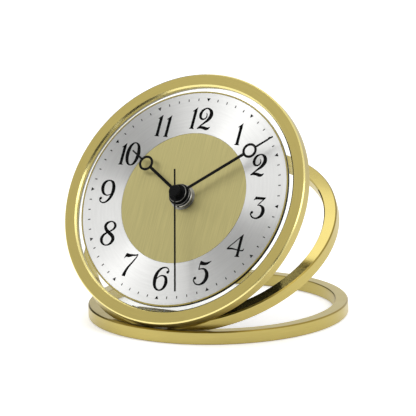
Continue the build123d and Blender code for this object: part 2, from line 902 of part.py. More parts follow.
def movement_front_case():
    case = extrude(Pos(0, 0, case_inside) * case_outline(), case_wall)
    case -= rod(bush_radius + fit_clearance, case_inside - overrun, case_front + overrun)
    bay = block(-case_half + case_wall, case_half - case_wall, -case_half + case_wall, bay_top,
                case_inside - overrun, case_front - bay_floor)
    case -= bay
    posts = [(place, post_radius, case_back_inside) for place in case_post_places]
    posts += [(place, plate_post_radius, plate_front) for place in plate_post_places]
    posts += [(place, board_post_radius, board_front) for place in board_post_places]
    for place, radius, end in posts:
        case += rod(radius, end, case_inside, place)
        case -= rod(screw_radius + screw_clearance, end - overrun, end + screw_grip, place)
    pivot_end = pivot_front + running_clearance
    for place in (*plate_pivot_places, knob_place):
        case -= rod(pivot_radius + running_clearance, case_inside - overrun, pivot_end, place)
    return case + rod(stud_radius, level(1) - wheel_thickness, case_inside, motion_place)


def movement_rear_case():
    inner_corner = case_corner - case_wall
    inside = RectangleRounded(case_size - 2 * case_wall, case_size - 2 * case_wall, inner_corner)
    case = extrude(Pos(0, 0, case_back) * case_outline(), case_inside - case_back)
    case -= extrude(Pos(0, 0, case_back_inside) * inside, case_inside - case_back)
    edge = case_half - case_wall
    case += block(-edge, edge, bay_top, bay_wall_top, case_back, case_inside)
    case -= block(-edge, edge, -edge, bay_top, case_back - overrun, case_inside + overrun)
    for place in case_post_places:
        case -= rod(screw_radius + screw_clearance, case_back - overrun, case_back_inside + overrun, place)
    knob_hole = knob_radius + knob_hole_gap
    return case - rod(knob_hole, case_back - overrun, case_back_inside + overrun, knob_place)


def screws_at(places, seat, grip):
    """Cheese-head screws driven forwards from a seat."""
    return group(Pos(x, y, seat) * cheese_screw(grip) for x, y in places)


def case_screws():
    return screws_at(case_post_places, case_back, case_wall + screw_grip - overrun)


def plate_screws():
    return screws_at(plate_post_places, plate_back, plate_thickness + screw_grip - overrun)


def board_screws():
    return screws_at(board_post_places, board_back, board_thickness + screw_grip - overrun)


def gear_plate():
    plate = block(-plate_half_width, plate_half_width, plate_low, plate_low + plate_height,
                  plate_back, plate_front)
    holes = [(place, pivot_radius, running_clearance) for place in plate_pivot_places]
    holes += [(place, screw_radius, screw_clearance) for place in plate_post_places]
    holes += [(centre, second_arbor_radius, running_clearance)]
    holes += [(knob_place, knob_shaft_radius, running_clearance)]
    for place, radius, clearance in holes:
        plate -= rod(radius + clearance, plate_back - overrun, plate_front + overrun, place)
    return plate


def circuit_board():
    board = block(-board_left, board_width - board_left, board_low, board_low + board_height,
                  board_back, board_front)
    for place in board_post_places:
        board -= rod(screw_radius + screw_clearance, board_back - overrun, board_front + overrun, place)
    return board


def ic_chip():
    x = chip_across - board_left
    half = chip_size / 2
    return block(x - half, x + half, board_mid_y - half, board_mid_y + half,
                 board_back - chip_thickness, board_back)


def quartz_crystal():
    x = crystal_across - board_left
    can = Rot(0, 90, 0) * Cylinder(crystal_radius, crystal_length)
    return Pos(x, board_mid_y, board_back - crystal_radius) * can


def stator():
    left, right = stator_left, stator_left + stator_width
    plate = block(left, right, stator_bottom, stator_top, plate_front, stator_front)
    for low in (stator_bottom, stator_top - stator_ear_width):
        plate += block(left, left + stator_reach, low, low + stator_ear_width, plate_front, stator_front)
    hole = magnet_radius + stator_hole_gap
    return plate - rod(hole, plate_front - overrun, stator_front + overrun, rotor_place)


def core_bar(side_gap):
    half = core_width / 2 + side_gap
    return block(core_mid_x - half, core_mid_x + half, stator_bottom, stator_top,
                 stator_front - side_gap, stator_front + core_thickness + side_gap)


def coil_core():
    return core_bar(0)


def coil_sleeve(half_width, half_depth, y_from, y_to):
    return block(core_mid_x - half_width, core_mid_x + half_width, y_from, y_to,
                 coil_mid_z - half_depth, coil_mid_z + half_depth)


bobbin_low = stator_bottom + stator_ear_width + bobbin_end_gap
bobbin_high = stator_top - stator_ear_width - bobbin_end_gap
tube_half_width = core_width / 2 + bobbin_tube_wall
tube_half_depth = core_thickness / 2 + bobbin_tube_wall


def coil_bobbin():
    bobbin = coil_sleeve(tube_half_width, tube_half_depth, bobbin_low, bobbin_high)
    for low in (bobbin_low, bobbin_high - bobbin_flange):
        bobbin += coil_sleeve(bobbin_half_width, bobbin_half_depth, low, low + bobbin_flange)
    return bobbin - core_bar(fit_clearance)


def coil_winding():
    low, high = bobbin_low + bobbin_flange, bobbin_high - bobbin_flange
    winding = coil_sleeve(bobbin_half_width - winding_inset, bobbin_half_depth - winding_inset, low, high)
    return winding - coil_sleeve(tube_half_width, tube_half_depth, low - overrun, high + overrun)


def battery():
    half = [(0, 0), (cell_radius - cell_edge, 0), (cell_radius, cell_edge),
            (cell_radius, cell_length - cell_edge), (cell_radius - cell_edge, cell_length),
            (cell_nub_radius, cell_length), (cell_nub_radius, cell_length + cell_nub_length),
            (0, cell_length + cell_nub_length)]
    start = cell_end - cell_nub_length - cell_length
    return Pos(start, cell_y, cell_z) * Rot(0, 90, 0) * turned(half)


def contact_plate(side):
    x_from = side * cell_end
    x_to = side * (cell_end + contact_thickness)
    return block(x_from, x_to, cell_y - contact_width / 2, cell_y + contact_width / 2,
                 cell_z - contact_height / 2, cell_z + contact_height / 2)


def battery_contact_positive():
    return contact_plate(1)


def battery_contact_negative():
    tip = cell_end - cell_nub_length - cell_length
    low, high = cell_z - contact_height / 2, cell_z + contact_height / 2
    bend = low + (high - low) * leaf_spring_share
    leaf = section_face([(-cell_end, low), (tip, bend), (tip, bend + contact_thickness),
                         (tip - contact_thickness, bend + contact_thickness),
                         (-cell_end, low + contact_thickness)])
    leaf = Pos(0, cell_y + contact_width / 4, 0) * extrude(leaf, contact_width / 2, dir=(0, -1, 0))
    return contact_plate(-1) + leaf


folded_pieces = {
    "base_ring": base_ring, "base_felt_ring": base_felt_ring, "base_hinge_bracket": base_hinge_bracket,
    "base_bracket_screws": base_bracket_screws, "hinge_pin": hinge_pin, "hinge_pin_cap": hinge_pin_cap,
    "hinge_friction_washers": hinge_friction_washers, "middle_ring": middle_ring,
    "middle_knuckle_screws": middle_knuckle_screws,
}
head_pieces = {
    "front_ring": front_ring, "glass_disc": glass_disc, "glass_snap_ring": glass_snap_ring,
    "head_hinge_knuckle": head_hinge_knuckle, "head_knuckle_screws": head_knuckle_screws,
    "dial_plate": dial_plate, "dial_chapter_ring": dial_chapter_ring, "dial_centre_disc": dial_centre_disc,
    "centre_bush": centre_bush, "centre_nut": centre_nut, "centre_washer": centre_washer,
    "rubber_washer": rubber_washer, "hour_hand": hour_hand, "minute_hand": minute_hand,
    "second_hand": second_hand, "second_hand_cap": second_hand_cap, "second_wheel": second_wheel,
    "third_wheel": third_wheel, "centre_wheel": centre_wheel, "hour_wheel": hour_wheel,
    "motion_wheel": motion_wheel, "intermediate_wheel": intermediate_wheel, "rotor": rotor,
    "setting_knob": setting_knob, "movement_front_case": movement_front_case,
    "movement_rear_case": movement_rear_case, "case_screws": case_screws, "plate_screws": plate_screws,
    "board_screws": board_screws, "gear_plate": gear_plate, "circuit_board": circuit_board,
    "ic_chip": ic_chip,
    "quartz_crystal": quartz_crystal, "stator": stator, "coil_core": coil_core, "coil_bobbin": coil_bobbin,
    "coil_winding": coil_winding, "battery": battery, "battery_contact_positive": battery_contact_positive,
    "battery_contact_negative": battery_contact_negative,
}

nodes = {name: make() for name, make in folded_pieces.items()}
nodes["middle_hinge_knuckle_left"] = middle_hinge_knuckle(-1)
nodes["middle_hinge_knuckle_right"] = middle_hinge_knuckle(1)
nodes |= {name: on_head(make()) for name, make in head_pieces.items()}
os.makedirs("parts", exist_ok=True)
for name, shape in nodes.items():
    export_step(shape, f"parts/{name}.step")
print(f"{len(nodes)} nodes, head tilt {head_tilt:.3f}, middle tilt {middle_tilt:.3f}")
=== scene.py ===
import json
from math import cos, pi, radians, sin

import bmesh
import bpy
from mathutils import Matrix, Vector


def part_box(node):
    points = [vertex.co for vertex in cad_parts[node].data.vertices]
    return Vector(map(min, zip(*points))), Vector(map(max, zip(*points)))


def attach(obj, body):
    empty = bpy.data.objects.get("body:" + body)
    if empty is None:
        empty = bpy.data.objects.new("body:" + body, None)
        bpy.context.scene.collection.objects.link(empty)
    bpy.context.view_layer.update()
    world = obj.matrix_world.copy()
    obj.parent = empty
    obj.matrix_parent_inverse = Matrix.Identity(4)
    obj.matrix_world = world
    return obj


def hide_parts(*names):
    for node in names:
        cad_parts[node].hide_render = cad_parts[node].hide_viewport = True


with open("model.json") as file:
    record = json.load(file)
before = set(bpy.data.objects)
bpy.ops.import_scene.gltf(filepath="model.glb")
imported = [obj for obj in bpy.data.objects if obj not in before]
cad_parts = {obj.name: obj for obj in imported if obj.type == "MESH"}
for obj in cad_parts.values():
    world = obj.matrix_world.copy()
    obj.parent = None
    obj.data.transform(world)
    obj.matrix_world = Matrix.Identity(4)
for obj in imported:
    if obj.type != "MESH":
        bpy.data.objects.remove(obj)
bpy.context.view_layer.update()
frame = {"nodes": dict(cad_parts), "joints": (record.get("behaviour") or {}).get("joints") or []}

# Metres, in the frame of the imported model: X along the hinge, -Y to the front, +Z up
mm = 0.001

# Rings: sections as turned, with finely broken edges
ring_width = 7.6 * mm
ring_segments = 288
edge_chamfer = 0.7 * mm
lip_bevel = 1.0 * mm
back_chamfer = 0.8 * mm
soft_edge = 0.4 * mm
broken_edge = 0.12 * mm
round_steps = 3
sharp_angle = radians(34)
stack_gap = 0.3 * mm
felt_width = 4.0 * mm
felt_side_gap = 0.1 * mm
middle_gap_half = 9.3 * mm
relief_gap = 0.3 * mm
scallop_radius = 2.2 * mm
scallop_half = 14.35 * mm
scallop_segments = 48

# How far a face's normal rises where the face is slanted, and how far it points outwards on an outer wall
least_slant_share = 0.3
least_collar_slant_share = 0.5
most_slant_share = 0.9
outward_share = 0.7

# Glass and its seat in the front ring
lip_depth = 3.0 * mm
lip_width = 2.6 * mm
glass_thickness = 2.6 * mm
glass_side_gap = 0.2 * mm
glass_bevel = 0.3 * mm
glass_hole_radius = 4.1 * mm
snap_groove_depth = 1.0 * mm
snap_groove_width = 1.2 * mm

# Dial, with heights from the dial face
dial_gap = 2.9 * mm
dial_face_depth = 1.1 * mm
plate_back = -1.85 * mm
leaf_thickness = 0.5 * mm
rim_width = 0.8 * mm
rim_proud = 0.1 * mm
leaf_gap = 0.1 * mm
leaf_bevel = 0.12 * mm
centre_disc_share = 0.603

# Hands, with heights from the dial face and angles clockwise from twelve
blade_thickness = 0.5 * mm
blade_bevel = 0.1 * mm
collar_below = 0.25 * mm
collar_height = 1.6 * mm
collar_chamfer = 0.3 * mm
small_ring_segments = 96
hour_hand = dict(
    angle=302.4, lift=3.7 * mm, length=44.7 * mm, ring_centre=32.0 * mm, ring_outer=4.45 * mm,
    ring_inner=3.1 * mm, rod=1.75 * mm, neck=1.2 * mm, tip=0.8 * mm, collar=6.5 * mm, bore=2.52 * mm,
)
minute_hand = dict(
    angle=52.35, lift=5.9 * mm, length=62.8 * mm, ring_centre=47.5 * mm, ring_outer=4.35 * mm,
    ring_inner=3.0 * mm, rod=1.65 * mm, neck=1.15 * mm, tip=0.75 * mm, collar=5.4 * mm, bore=1.52 * mm,
)
second_angle = 164.0
second_lift = 10.4 * mm
second_length = 60.1 * mm
second_tail = 13.4 * mm
second_width = 1.0 * mm
second_thickness = 0.3 * mm
second_boss_radius = 3.0 * mm
second_boss_drop = 2.8 * mm
second_boss_segments = 64
second_bore = 0.52 * mm
cap_radius = 3.5 * mm
cap_height = 0.7 * mm
cap_round = 0.35 * mm

# Print on the dial
hours_round = 12
minutes_round = 60
numeral_height = 13.4 * mm
numeral_radius = 48.8 * mm
mark_radius = 59.4 * mm
hour_mark_width = 2.2 * mm
hour_mark_length = 2.0 * mm
minute_mark_width = 0.56 * mm
minute_mark_length = 1.45 * mm
ink_thickness = 0.03 * mm
pen_steps = 6
ball_points = 24
pen_gain_share = 1.08
pen_least_share = 0.006

# Textures, with the depth of their relief: two numbers are marks to the metre across a ring and marks to the
# radian round it, and three are marks to the metre along X, Y and Z
satin_streaks = (4200, 5)
satin_clouds = (60, 60, 60)
satin_depth = 0.003 * mm
polish_hairlines = (2500, 9)
polish_smears = (45, 45, 45)
polish_depth = 0.0004 * mm
machined_spots = (900, 900, 900)
machined_depth = 0.004 * mm
silver_grooves = (5200, 2)
silver_bands = (900, 3)
silver_depth = 0.004 * mm
gold_lines = (5200, 90, 400)
gold_bands = (1600, 40, 400)
gold_depth = 0.006 * mm
steel_marks = (1500, 1500, 1500)
steel_depth = 0.001 * mm
glass_specks = (130, 130, 130)
lacquer_peel = (1400, 1400, 1400)
lacquer_depth = 0.004 * mm
ink_screen = (2600, 2600, 2600)
ink_depth = 0.003 * mm
plastic_grain = (2200, 2200, 2200)
plastic_depth = 0.02 * mm
felt_fibres = (1600, 1600, 900)
felt_depth = 0.12 * mm
board_tracks = (210, 210, 210)
board_depth = 0.02 * mm
winding_mottle = (0, 2600, 4200)
winding_depth = 0.05 * mm
sleeve_print = (700, 700, 700)
sleeve_wobble_share = 0.004
sleeve_band_shares = (0.69, 0.7, 0.965, 0.97)
paper_fibre = (300, 300, 300)
card_cloth = (40, 40, 40)

# Colours, from dark to light where there are two
brass_tone = (0.49, 0.4, 0.13)
# Lighter brass for the front ring's chamfers: a painted highlight along its edges
highlight_edge_tone = (0.78, 0.68, 0.28)
# Darker brass for chamfers: painted shade on the base ring and a painted dark reflection on the middle ring
painted_shade_tone = (0.3, 0.22, 0.05)
gold_leaf_tone = (0.5, 0.445, 0.2)
silver_tone = (0.9, 0.9, 0.885)
steel_tone = (0.42, 0.41, 0.38)
glass_tones = ((0.955, 0.975, 0.96), (0.975, 0.99, 0.98))
glass_shadow_tone = (0.93, 0.95, 0.94)
lacquer_tones = ((0.003, 0.003, 0.003), (0.008, 0.008, 0.008))
ink_tones = ((0.002, 0.002, 0.002), (0.006, 0.006, 0.006))
black_plastic_tone = (0.016, 0.016, 0.017)
pale_plastic_tone = (0.72, 0.71, 0.66)
rubber_tone = (0.02, 0.02, 0.02)
felt_tones = ((0.012, 0.014, 0.013), (0.045, 0.05, 0.046))
board_tones = ((0.01, 0.07, 0.03), (0.03, 0.16, 0.07))
copper_tones = ((0.2, 0.06, 0.025), (0.62, 0.23, 0.1))
sleeve_black = (0.015, 0.015, 0.016)
sleeve_copper = (0.5, 0.22, 0.09)
paper_tones = ((0.93, 0.93, 0.93), (0.96, 0.96, 0.96))
card_tones = ((0.012, 0.011, 0.01), (0.02, 0.019, 0.017))

# Camera: where it stands, how it is turned and the point that it is aimed at
camera_azimuth = radians(29.88)
camera_elevation = radians(11.88)
camera_roll = radians(-1.22)
camera_distance = 1535.34 * mm
aim_across = -5.99 * mm
aim_up = 59.91 * mm
table_lift = 0.3 * mm
picture_pixels = 416
focal_pixels = 2655.25

# Stage: floor, room, lamps that face the clock from a direction and dark cards that bright metal mirrors
floor_half = 6.0
floor_glow = 0.4
room_light = 0.8
room_white = 1.0
lamp_reach = 1.0
lamps = {
    "overhead_softbox": dict(towards=(-0.175, -0.016, 0.985), size=0.74, power=1.6),
    "key_lamp": dict(towards=(-0.25, -0.14, 0.96), size=0.12, power=0.9),
    "right_softbox": dict(towards=(0.83, -0.28, 0.48), size=0.4, power=0.9),
    "high_softbox": dict(towards=(0.5, -0.22, 0.84), size=0.4, power=0.6),
}
cards = {
    "front_card": dict(place=(0.3, -0.83, 0.26), back=(0.33, -0.9, 0.2), width=1.3, height=0.9),
    "left_card": dict(place=(-0.91, 0.5, 0.44), back=(-0.83, 0.45, 0.33), width=0.85, height=0.7),
    "floor_card": dict(place=(0.14, -0.42, 0.001), back=(0, 0, 1), width=0.32, height=0.44),
}

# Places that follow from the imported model
joints = {joint["name"]: joint for joint in frame["joints"]}
base_low, base_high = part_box("base_ring")
ring_outer = base_high.x
ring_inner = ring_outer - ring_width
ring_middle = (ring_inner + ring_outer) / 2
ring_thickness = base_high.z - base_low.z
base_bottom = base_low.z
middle_bottom = base_bottom + ring_thickness + stack_gap
front_bottom = middle_bottom + ring_thickness + stack_gap
hinge = Vector(joints["prop_fold"]["pos_m"])
middle_tilt = -radians(joints["prop_fold"]["range_deg"][0])
head_tilt = middle_tilt - radians(joints["head_fold"]["range_deg"][0])
dial_radius = ring_inner - dial_gap
centre_disc_radius = dial_radius * centre_disc_share


def folded_frame(tilt, height):
    """Frame of a piece that lies at a height in the folded stack, swung up about the hinge."""
    swing = Matrix.Translation(hinge) @ Matrix.Rotation(tilt, 4, "X") @ Matrix.Translation(-hinge)
    return swing @ Matrix.Translation((0, 0, height))


base_frame = folded_frame(0, base_bottom)
middle_frame = folded_frame(middle_tilt, middle_bottom)
front_frame = folded_frame(head_tilt, front_bottom + ring_thickness)
dial_frame = folded_frame(head_tilt, front_bottom + ring_thickness - dial_face_depth)


# Surfaces


class Surface:
    """A node material built round one principled shader."""

    def __init__(self, name, **sockets):
        self.material = bpy.data.materials.new(name)
        self.material.use_nodes = True
        self.tree = self.material.node_tree
        self.shader = self.tree.nodes["Principled BSDF"]
        self.output = self.tree.nodes["Material Output"]
        for socket, value in sockets.items():
            title = socket.replace("_", " ").title().replace("Ior", "IOR")
            self.shader.inputs[title].default_value = value

    def node(self, kind, inputs, **settings):
        made = self.tree.nodes.new(f"ShaderNode{kind}")
        for name, value in settings.items():
            setattr(made, name, value)
        for key, value in inputs.items():
            if isinstance(value, bpy.types.NodeSocket):
                self.tree.links.new(value, made.inputs[key])
            else:
                made.inputs[key].default_value = value
        return made

    def into(self, socket, source):
        self.tree.links.new(source, self.shader.inputs[socket])

    def place(self):
        return self.node("TexCoord", {}).outputs["Object"]

    def scaled(self, vector, factors):
        return self.node("Mapping", {"Vector": vector, "Scale": factors}).outputs["Vector"]

    def around(self, across, round_turn):
        """Coordinates that run along the circles about the piece's own axis."""
        split = self.node("SeparateXYZ", {"Vector": self.place()})
        flat = self.node("CombineXYZ", {"X": split.outputs["X"], "Y": split.outputs["Y"]})
        radius = self.node("VectorMath", {0: flat.outputs["Vector"]}, operation="LENGTH")
        angle = self.node("Math", {0: split.outputs["Y"], 1: split.outputs["X"]}, operation="ARCTAN2")
        polar = self.node("CombineXYZ", {"X": radius.outputs["Value"], "Y": angle.outputs["Value"],
                                         "Z": split.outputs["Z"]})
        return self.scaled(polar.outputs["Vector"], (across, round_turn, across))

    def noise(self, vector, detail, roughness=0.5):
        inputs = {"Vector": vector, "Scale": 1.0, "Detail": detail, "Roughness": roughness}
        return self.node("TexNoise", inputs).outputs["Fac"]

    def grain(self, marks, detail, roughness=0.5):
        """Noise with so many marks to the metre along X, Y and Z."""
        return self.noise(self.scaled(self.place(), marks), detail, roughness)

    def span(self, value, low, high):
        """Value between zero and one, spread over a range."""
        made = self.node("MapRange", {"Value": value, "To Min": low, "To Max": high})
        return made.outputs["Result"]

    def tones(self, value, stops, colours):
        """Colour that goes from one to the next as a value passes the stops."""
        ramp = self.node("ValToRGB", {"Fac": value})
        elements = ramp.color_ramp.elements
        while len(elements) < len(stops):
            elements.new(0.5)
        for element, stop, colour in zip(elements, stops, colours):
            element.position = stop
            element.color = (*colour, 1)
        return ramp.outputs["Color"]

    def bump(self, height, depth, strength):
        made = self.node("Bump", {"Height": height, "Strength": strength, "Distance": depth})
        self.into("Normal", made.outputs["Normal"])

    def follow(self, pattern, stops, colours, roughness, relief):
        """Colour, roughness and relief that all follow one pattern."""
        self.into("Base Color", self.tones(pattern, stops, colours))
        self.into("Roughness", self.span(pattern, *roughness))
        self.bump(pattern, *relief)
        return self.material


def shade(colour, factor):
    return tuple(channel * factor for channel in colour)


def satin_brass(name):
    """Lathe-satined brass: fine streaks run round the ring."""
    surface = Surface(name, metallic=1.0)
    streaks = surface.noise(surface.around(*satin_streaks), 3.0)
    clouds = surface.grain(satin_clouds, 2.0)
    surface.into("Base Color", surface.tones(streaks, (0.3, 0.7), (shade(brass_tone, 0.9), brass_tone)))
    patches = surface.node("Math", {0: streaks, 1: clouds}, operation="MULTIPLY").outputs["Value"]
    surface.into("Roughness", surface.span(patches, 0.26, 0.5))
    surface.bump(streaks, satin_depth, 0.4)
    return surface.material


def polished_brass(name, tone, roughness):
    """Polished brass with faint handling marks."""
    surface = Surface(name, metallic=1.0)
    smears = surface.grain(polish_smears, 4.0)
    hairlines = surface.noise(surface.around(*polish_hairlines), 2.0)
    surface.into("Base Color", surface.tones(smears, (0.35, 0.7), (shade(tone, 0.97), shade(tone, 1.06))))
    surface.into("Roughness", surface.span(smears, roughness, roughness + 0.08))
    surface.bump(hairlines, polish_depth, 0.3)
    return surface.material


def machined_brass(name):
    """Machined brass of the small pieces."""
    surface = Surface(name, metallic=1.0)
    spots = surface.grain(machined_spots, 3.0)
    colours = (shade(brass_tone, 0.82), brass_tone)
    return surface.follow(spots, (0.3, 0.75), colours, (0.22, 0.42), (machined_depth, 0.4))


def spun_silver(name):
    """Silvered chapter ring with concentric brushing that spreads reflections across the grooves."""
    surface = Surface(name, metallic=1.0, anisotropic=0.94, anisotropic_rotation=0.25)
    grooves = surface.noise(surface.around(*silver_grooves), 3.0)
    bands = surface.noise(surface.around(*silver_bands), 2.0)
    surface.into("Base Color", surface.tones(bands, (0.3, 0.7), (shade(silver_tone, 0.95), silver_tone)))
    surface.into("Roughness", surface.span(grooves, 0.5, 0.62))
    tangent = surface.node("Tangent", {}, direction_type="RADIAL", axis="Z")
    surface.into("Tangent", tangent.outputs["Tangent"])
    surface.bump(grooves, silver_depth, 0.35)
    return surface.material


def brushed_gold(name):
    """Gold centre disc, brushed from top to bottom."""
    surface = Surface(name, metallic=1.0, anisotropic=0.5)
    lines = surface.grain(gold_lines, 3.0)
    bands = surface.grain(gold_bands, 4.0)
    mixed = surface.node("Math", {0: lines, 1: bands, 2: bands}, operation="MULTIPLY_ADD").outputs["Value"]
    colours = (shade(gold_leaf_tone, 0.93), shade(gold_leaf_tone, 1.07))
    surface.into("Base Color", surface.tones(mixed, (0.5, 1.0), colours))
    surface.into("Roughness", surface.span(lines, 0.36, 0.52))
    across = surface.node("CombineXYZ", {"X": 1.0})
    surface.into("Tangent", across.outputs["Vector"])
    surface.bump(lines, gold_depth, 0.5)
    return surface.material


def steel(name, tone, roughness):
    """Nickelled steel with fine turning marks."""
    surface = Surface(name, metallic=1.0)
    marks = surface.grain(steel_marks, 3.0)
    spread = (roughness - 0.04, roughness + 0.08)
    return surface.follow(marks, (0.3, 0.7), (shade(tone, 0.85), tone), spread, (steel_depth, 0.3))


def clear_glass(name):
    """Clear float glass with a trace of green and a few specks; shadows pass through it."""
    surface = Surface(name, transmission_weight=1.0, ior=1.5, roughness=0.0)
    specks = surface.grain(glass_specks, 2.0)
    surface.into("Base Color", surface.tones(specks, (0.3, 0.7), glass_tones))
    path = surface.node("LightPath", {})
    clear = surface.node("BsdfTransparent", {"Color": (*glass_shadow_tone, 1)})
    mix = surface.node("MixShader", {0: path.outputs["Is Shadow Ray"], 1: surface.shader.outputs["BSDF"],
                                     2: clear.outputs["BSDF"]})
    surface.tree.links.new(mix.outputs["Shader"], surface.output.inputs["Surface"])
    return surface.material


def black_lacquer(name):
    """Semi-gloss black lacquer with a slight orange-peel."""
    surface = Surface(name, specular_ior_level=0.06)
    peel = surface.grain(lacquer_peel, 2.0)
    return surface.follow(peel, (0.3, 0.75), lacquer_tones, (0.25, 0.4), (lacquer_depth, 0.3))


def printing_ink(name):
    """Matt black printing ink."""
    surface = Surface(name, specular_ior_level=0.03)
    screen = surface.grain(ink_screen, 2.0)
    return surface.follow(screen, (0.3, 0.8), ink_tones, (0.42, 0.6), (ink_depth, 0.3))


def moulded_plastic(name, tone, roughness):
    """Moulded plastic with a fine spark-eroded grain."""
    surface = Surface(name)
    grain = surface.grain(plastic_grain, 3.0)
    spread = (roughness - 0.1, roughness + 0.15)
    return surface.follow(grain, (0.3, 0.7), (shade(tone, 0.8), tone), spread, (plastic_depth, 0.35))


def felt(name):
    """Dark pressed felt."""
    surface = Surface(name, sheen_weight=0.4, sheen_roughness=0.6)
    fibres = surface.grain(felt_fibres, 6.0, 0.75)
    return surface.follow(fibres, (0.3, 0.75), felt_tones, (0.85, 1.0), (felt_depth, 0.8))


def waves(surface, marks, distortion):
    """Bands along X that noise bends, or the noise alone where there are no marks along X."""
    across = surface.scaled(surface.place(), marks)
    return surface.node("TexWave", {"Vector": across, "Scale": 1.0, "Distortion": distortion}).outputs["Fac"]


def circuit_green(name):
    """Circuit board lacquer over faint tracks."""
    surface = Surface(name, coat_weight=0.4)
    tracks = waves(surface, board_tracks, 3.0)
    return surface.follow(tracks, (0.45, 0.6), board_tones, (0.25, 0.4), (board_depth, 0.5))


def copper_winding(name):
    """Lacquered copper wire with a fine mottle."""
    surface = Surface(name, metallic=1.0)
    mottle = waves(surface, winding_mottle, 0.6)
    return surface.follow(mottle, (0.1, 0.8), copper_tones, (0.25, 0.45), (winding_depth, 0.7))


def cell_sleeve(name):
    """Battery sleeve: black body and a copper-coloured band at the positive end."""
    surface = Surface(name, coat_weight=0.5, coat_roughness=0.1)
    low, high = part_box("battery")
    split = surface.node("SeparateXYZ", {"Vector": surface.place()})
    along = surface.node("MapRange", {"Value": split.outputs["X"], "From Min": low.x, "From Max": high.x})
    ink_grain = surface.grain(sleeve_print, 2.0)
    wobble = surface.node("Math", {0: ink_grain, 1: sleeve_wobble_share, 2: along.outputs["Result"]},
                          operation="MULTIPLY_ADD").outputs["Value"]
    colours = (sleeve_black, sleeve_copper, sleeve_copper, steel_tone)
    surface.into("Base Color", surface.tones(wobble, sleeve_band_shares, colours))
    surface.into("Metallic", surface.span(wobble, 0.0, 0.9))
    surface.into("Roughness", surface.span(ink_grain, 0.22, 0.36))
    return surface.material


# Mesh making


def rounded(corners, radius):
    """Closed outline whose corners are eased to small arcs."""
    outline = []
    count = len(corners)
    for index, corner in enumerate(corners):
        here = Vector(corner)
        before = Vector(corners[index - 1]) - here
        after = Vector(corners[(index + 1) % count]) - here
        cut = min(radius, before.length / 3, after.length / 3)
        start = here + before.normalized() * cut
        end = here + after.normalized() * cut
        for step in range(round_steps + 1):
            share = step / round_steps
            outline.append((1 - share) ** 2 * start + 2 * share * (1 - share) * here + share ** 2 * end)
    return outline


def linked(name, data):
    """Object with the given data, put into the scene."""
    piece = bpy.data.objects.new(name, data)
    bpy.context.scene.collection.objects.link(piece)
    return piece


def finished(name, bm, placement):
    """Object from a bmesh, smooth but for its sharp edges, with flat faces kept flat."""
    bmesh.ops.recalc_face_normals(bm, faces=bm.faces)
    mesh = bpy.data.meshes.new(name)
    bm.to_mesh(mesh)
    bm.free()
    mesh.shade_smooth()
    mesh.set_sharp_from_angle(angle=sharp_angle)
    piece = linked(name, mesh)
    piece.matrix_world = placement
    weights = piece.modifiers.new("flat_faces", "WEIGHTED_NORMAL")
    weights.keep_sharp = True
    return piece


def add_turned(bm, outline, segments, centre=(0, 0)):
    """Closed ring turned about the axis through a centre, from an outline of radius and height."""
    loops = []
    for segment in range(segments):
        angle = 2 * pi * segment / segments
        loops.append([bm.verts.new((centre[0] + radius * cos(angle), centre[1] + radius * sin(angle), height))
                      for radius, height in outline])
    for segment in range(segments):
        near, far = loops[segment], loops[(segment + 1) % segments]
        for index in range(len(outline)):
            following = (index + 1) % len(outline)
            bm.faces.new((near[index], far[index], far[following], near[following]))


def turned(name, corners, placement, radius=broken_edge, segments=ring_segments):
    bm = bmesh.new()
    add_turned(bm, rounded(corners, radius), segments)
    return finished(name, bm, placement)


def add_prism(bm, outline, low, high, bevel=0.0):
    """Flat plate of an outline, its upper edge bevelled by moving in along the outline's normals."""
    count = len(outline)
    points = [Vector(point) for point in outline]
    inset = []
    for index, point in enumerate(points):
        before = (point - points[index - 1]).normalized()
        after = (points[(index + 1) % count] - point).normalized()
        inward = Vector((-(before.y + after.y), before.x + after.x))
        inset.append(point + inward.normalized() * bevel)
    bottom = [bm.verts.new((point.x, point.y, low)) for point in points]
    sides = [bm.verts.new((point.x, point.y, high - bevel)) for point in points]
    levels = [bottom, sides]
    if bevel:
        levels.append([bm.verts.new((point.x, point.y, high)) for point in inset])
    for lower, upper in zip(levels, levels[1:]):
        for index in range(count):
            following = (index + 1) % count
            bm.faces.new((lower[index], lower[following], upper[following], upper[index]))
    bm.faces.new(levels[-1])
    bm.faces.new(list(reversed(bottom)))


def add_box(bm, low, high):
    corners = [bm.verts.new((x, y, z)) for x in (low[0], high[0]) for y in (low[1], high[1])
               for z in (low[2], high[2])]
    for face in ((0, 1, 3, 2), (4, 6, 7, 5), (0, 4, 5, 1), (2, 3, 7, 6), (0, 2, 6, 4), (1, 5, 7, 3)):
        bm.faces.new([corners[index] for index in face])
    return corners


def cut_away(piece, cutters):
    """Takes a set of closed cutters out of a piece for good."""
    bmesh.ops.recalc_face_normals(cutters, faces=cutters.faces)
    mesh = bpy.data.meshes.new("cutter")
    cutters.to_mesh(mesh)
    cutters.free()
    tool = linked("cutter", mesh)
    tool.matrix_world = piece.matrix_world
    cut = piece.modifiers.new("cut", "BOOLEAN")
    cut.object = tool
    cut.operation = "DIFFERENCE"
    cut.solver = "EXACT"
    cut.use_self = True
    piece.modifiers.move(len(piece.modifiers) - 1, 0)
    weights = piece.modifiers["flat_faces"]
    weights.show_viewport = False
    bpy.context.view_layer.update()
    shaped = bpy.data.meshes.new_from_object(piece.evaluated_get(bpy.context.evaluated_depsgraph_get()))
    shaped.name = piece.name
    piece.modifiers.remove(cut)
    weights.show_viewport = True
    piece.data = shaped
    shaped.shade_smooth()
    shaped.set_sharp_from_angle(angle=sharp_angle)
    bpy.data.objects.remove(tool)


def dressed(piece, body, slot, materials, *nodes):
    """Gives a piece its materials and its body, and hides the nodes that it stands for; the slot is not used.
    """
    for material in materials:
        piece.data.materials.append(material)
    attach(piece, body)
    if nodes:
        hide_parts(*nodes)


def paint_where(piece, index, test):
    """One of the piece's materials on the faces whose centre and normal pass a test."""
    for polygon in piece.data.polygons:
        if test(polygon.center, polygon.normal):
            polygon.material_index = index


def slanted(rise):
    return least_slant_share < rise < most_slant_share


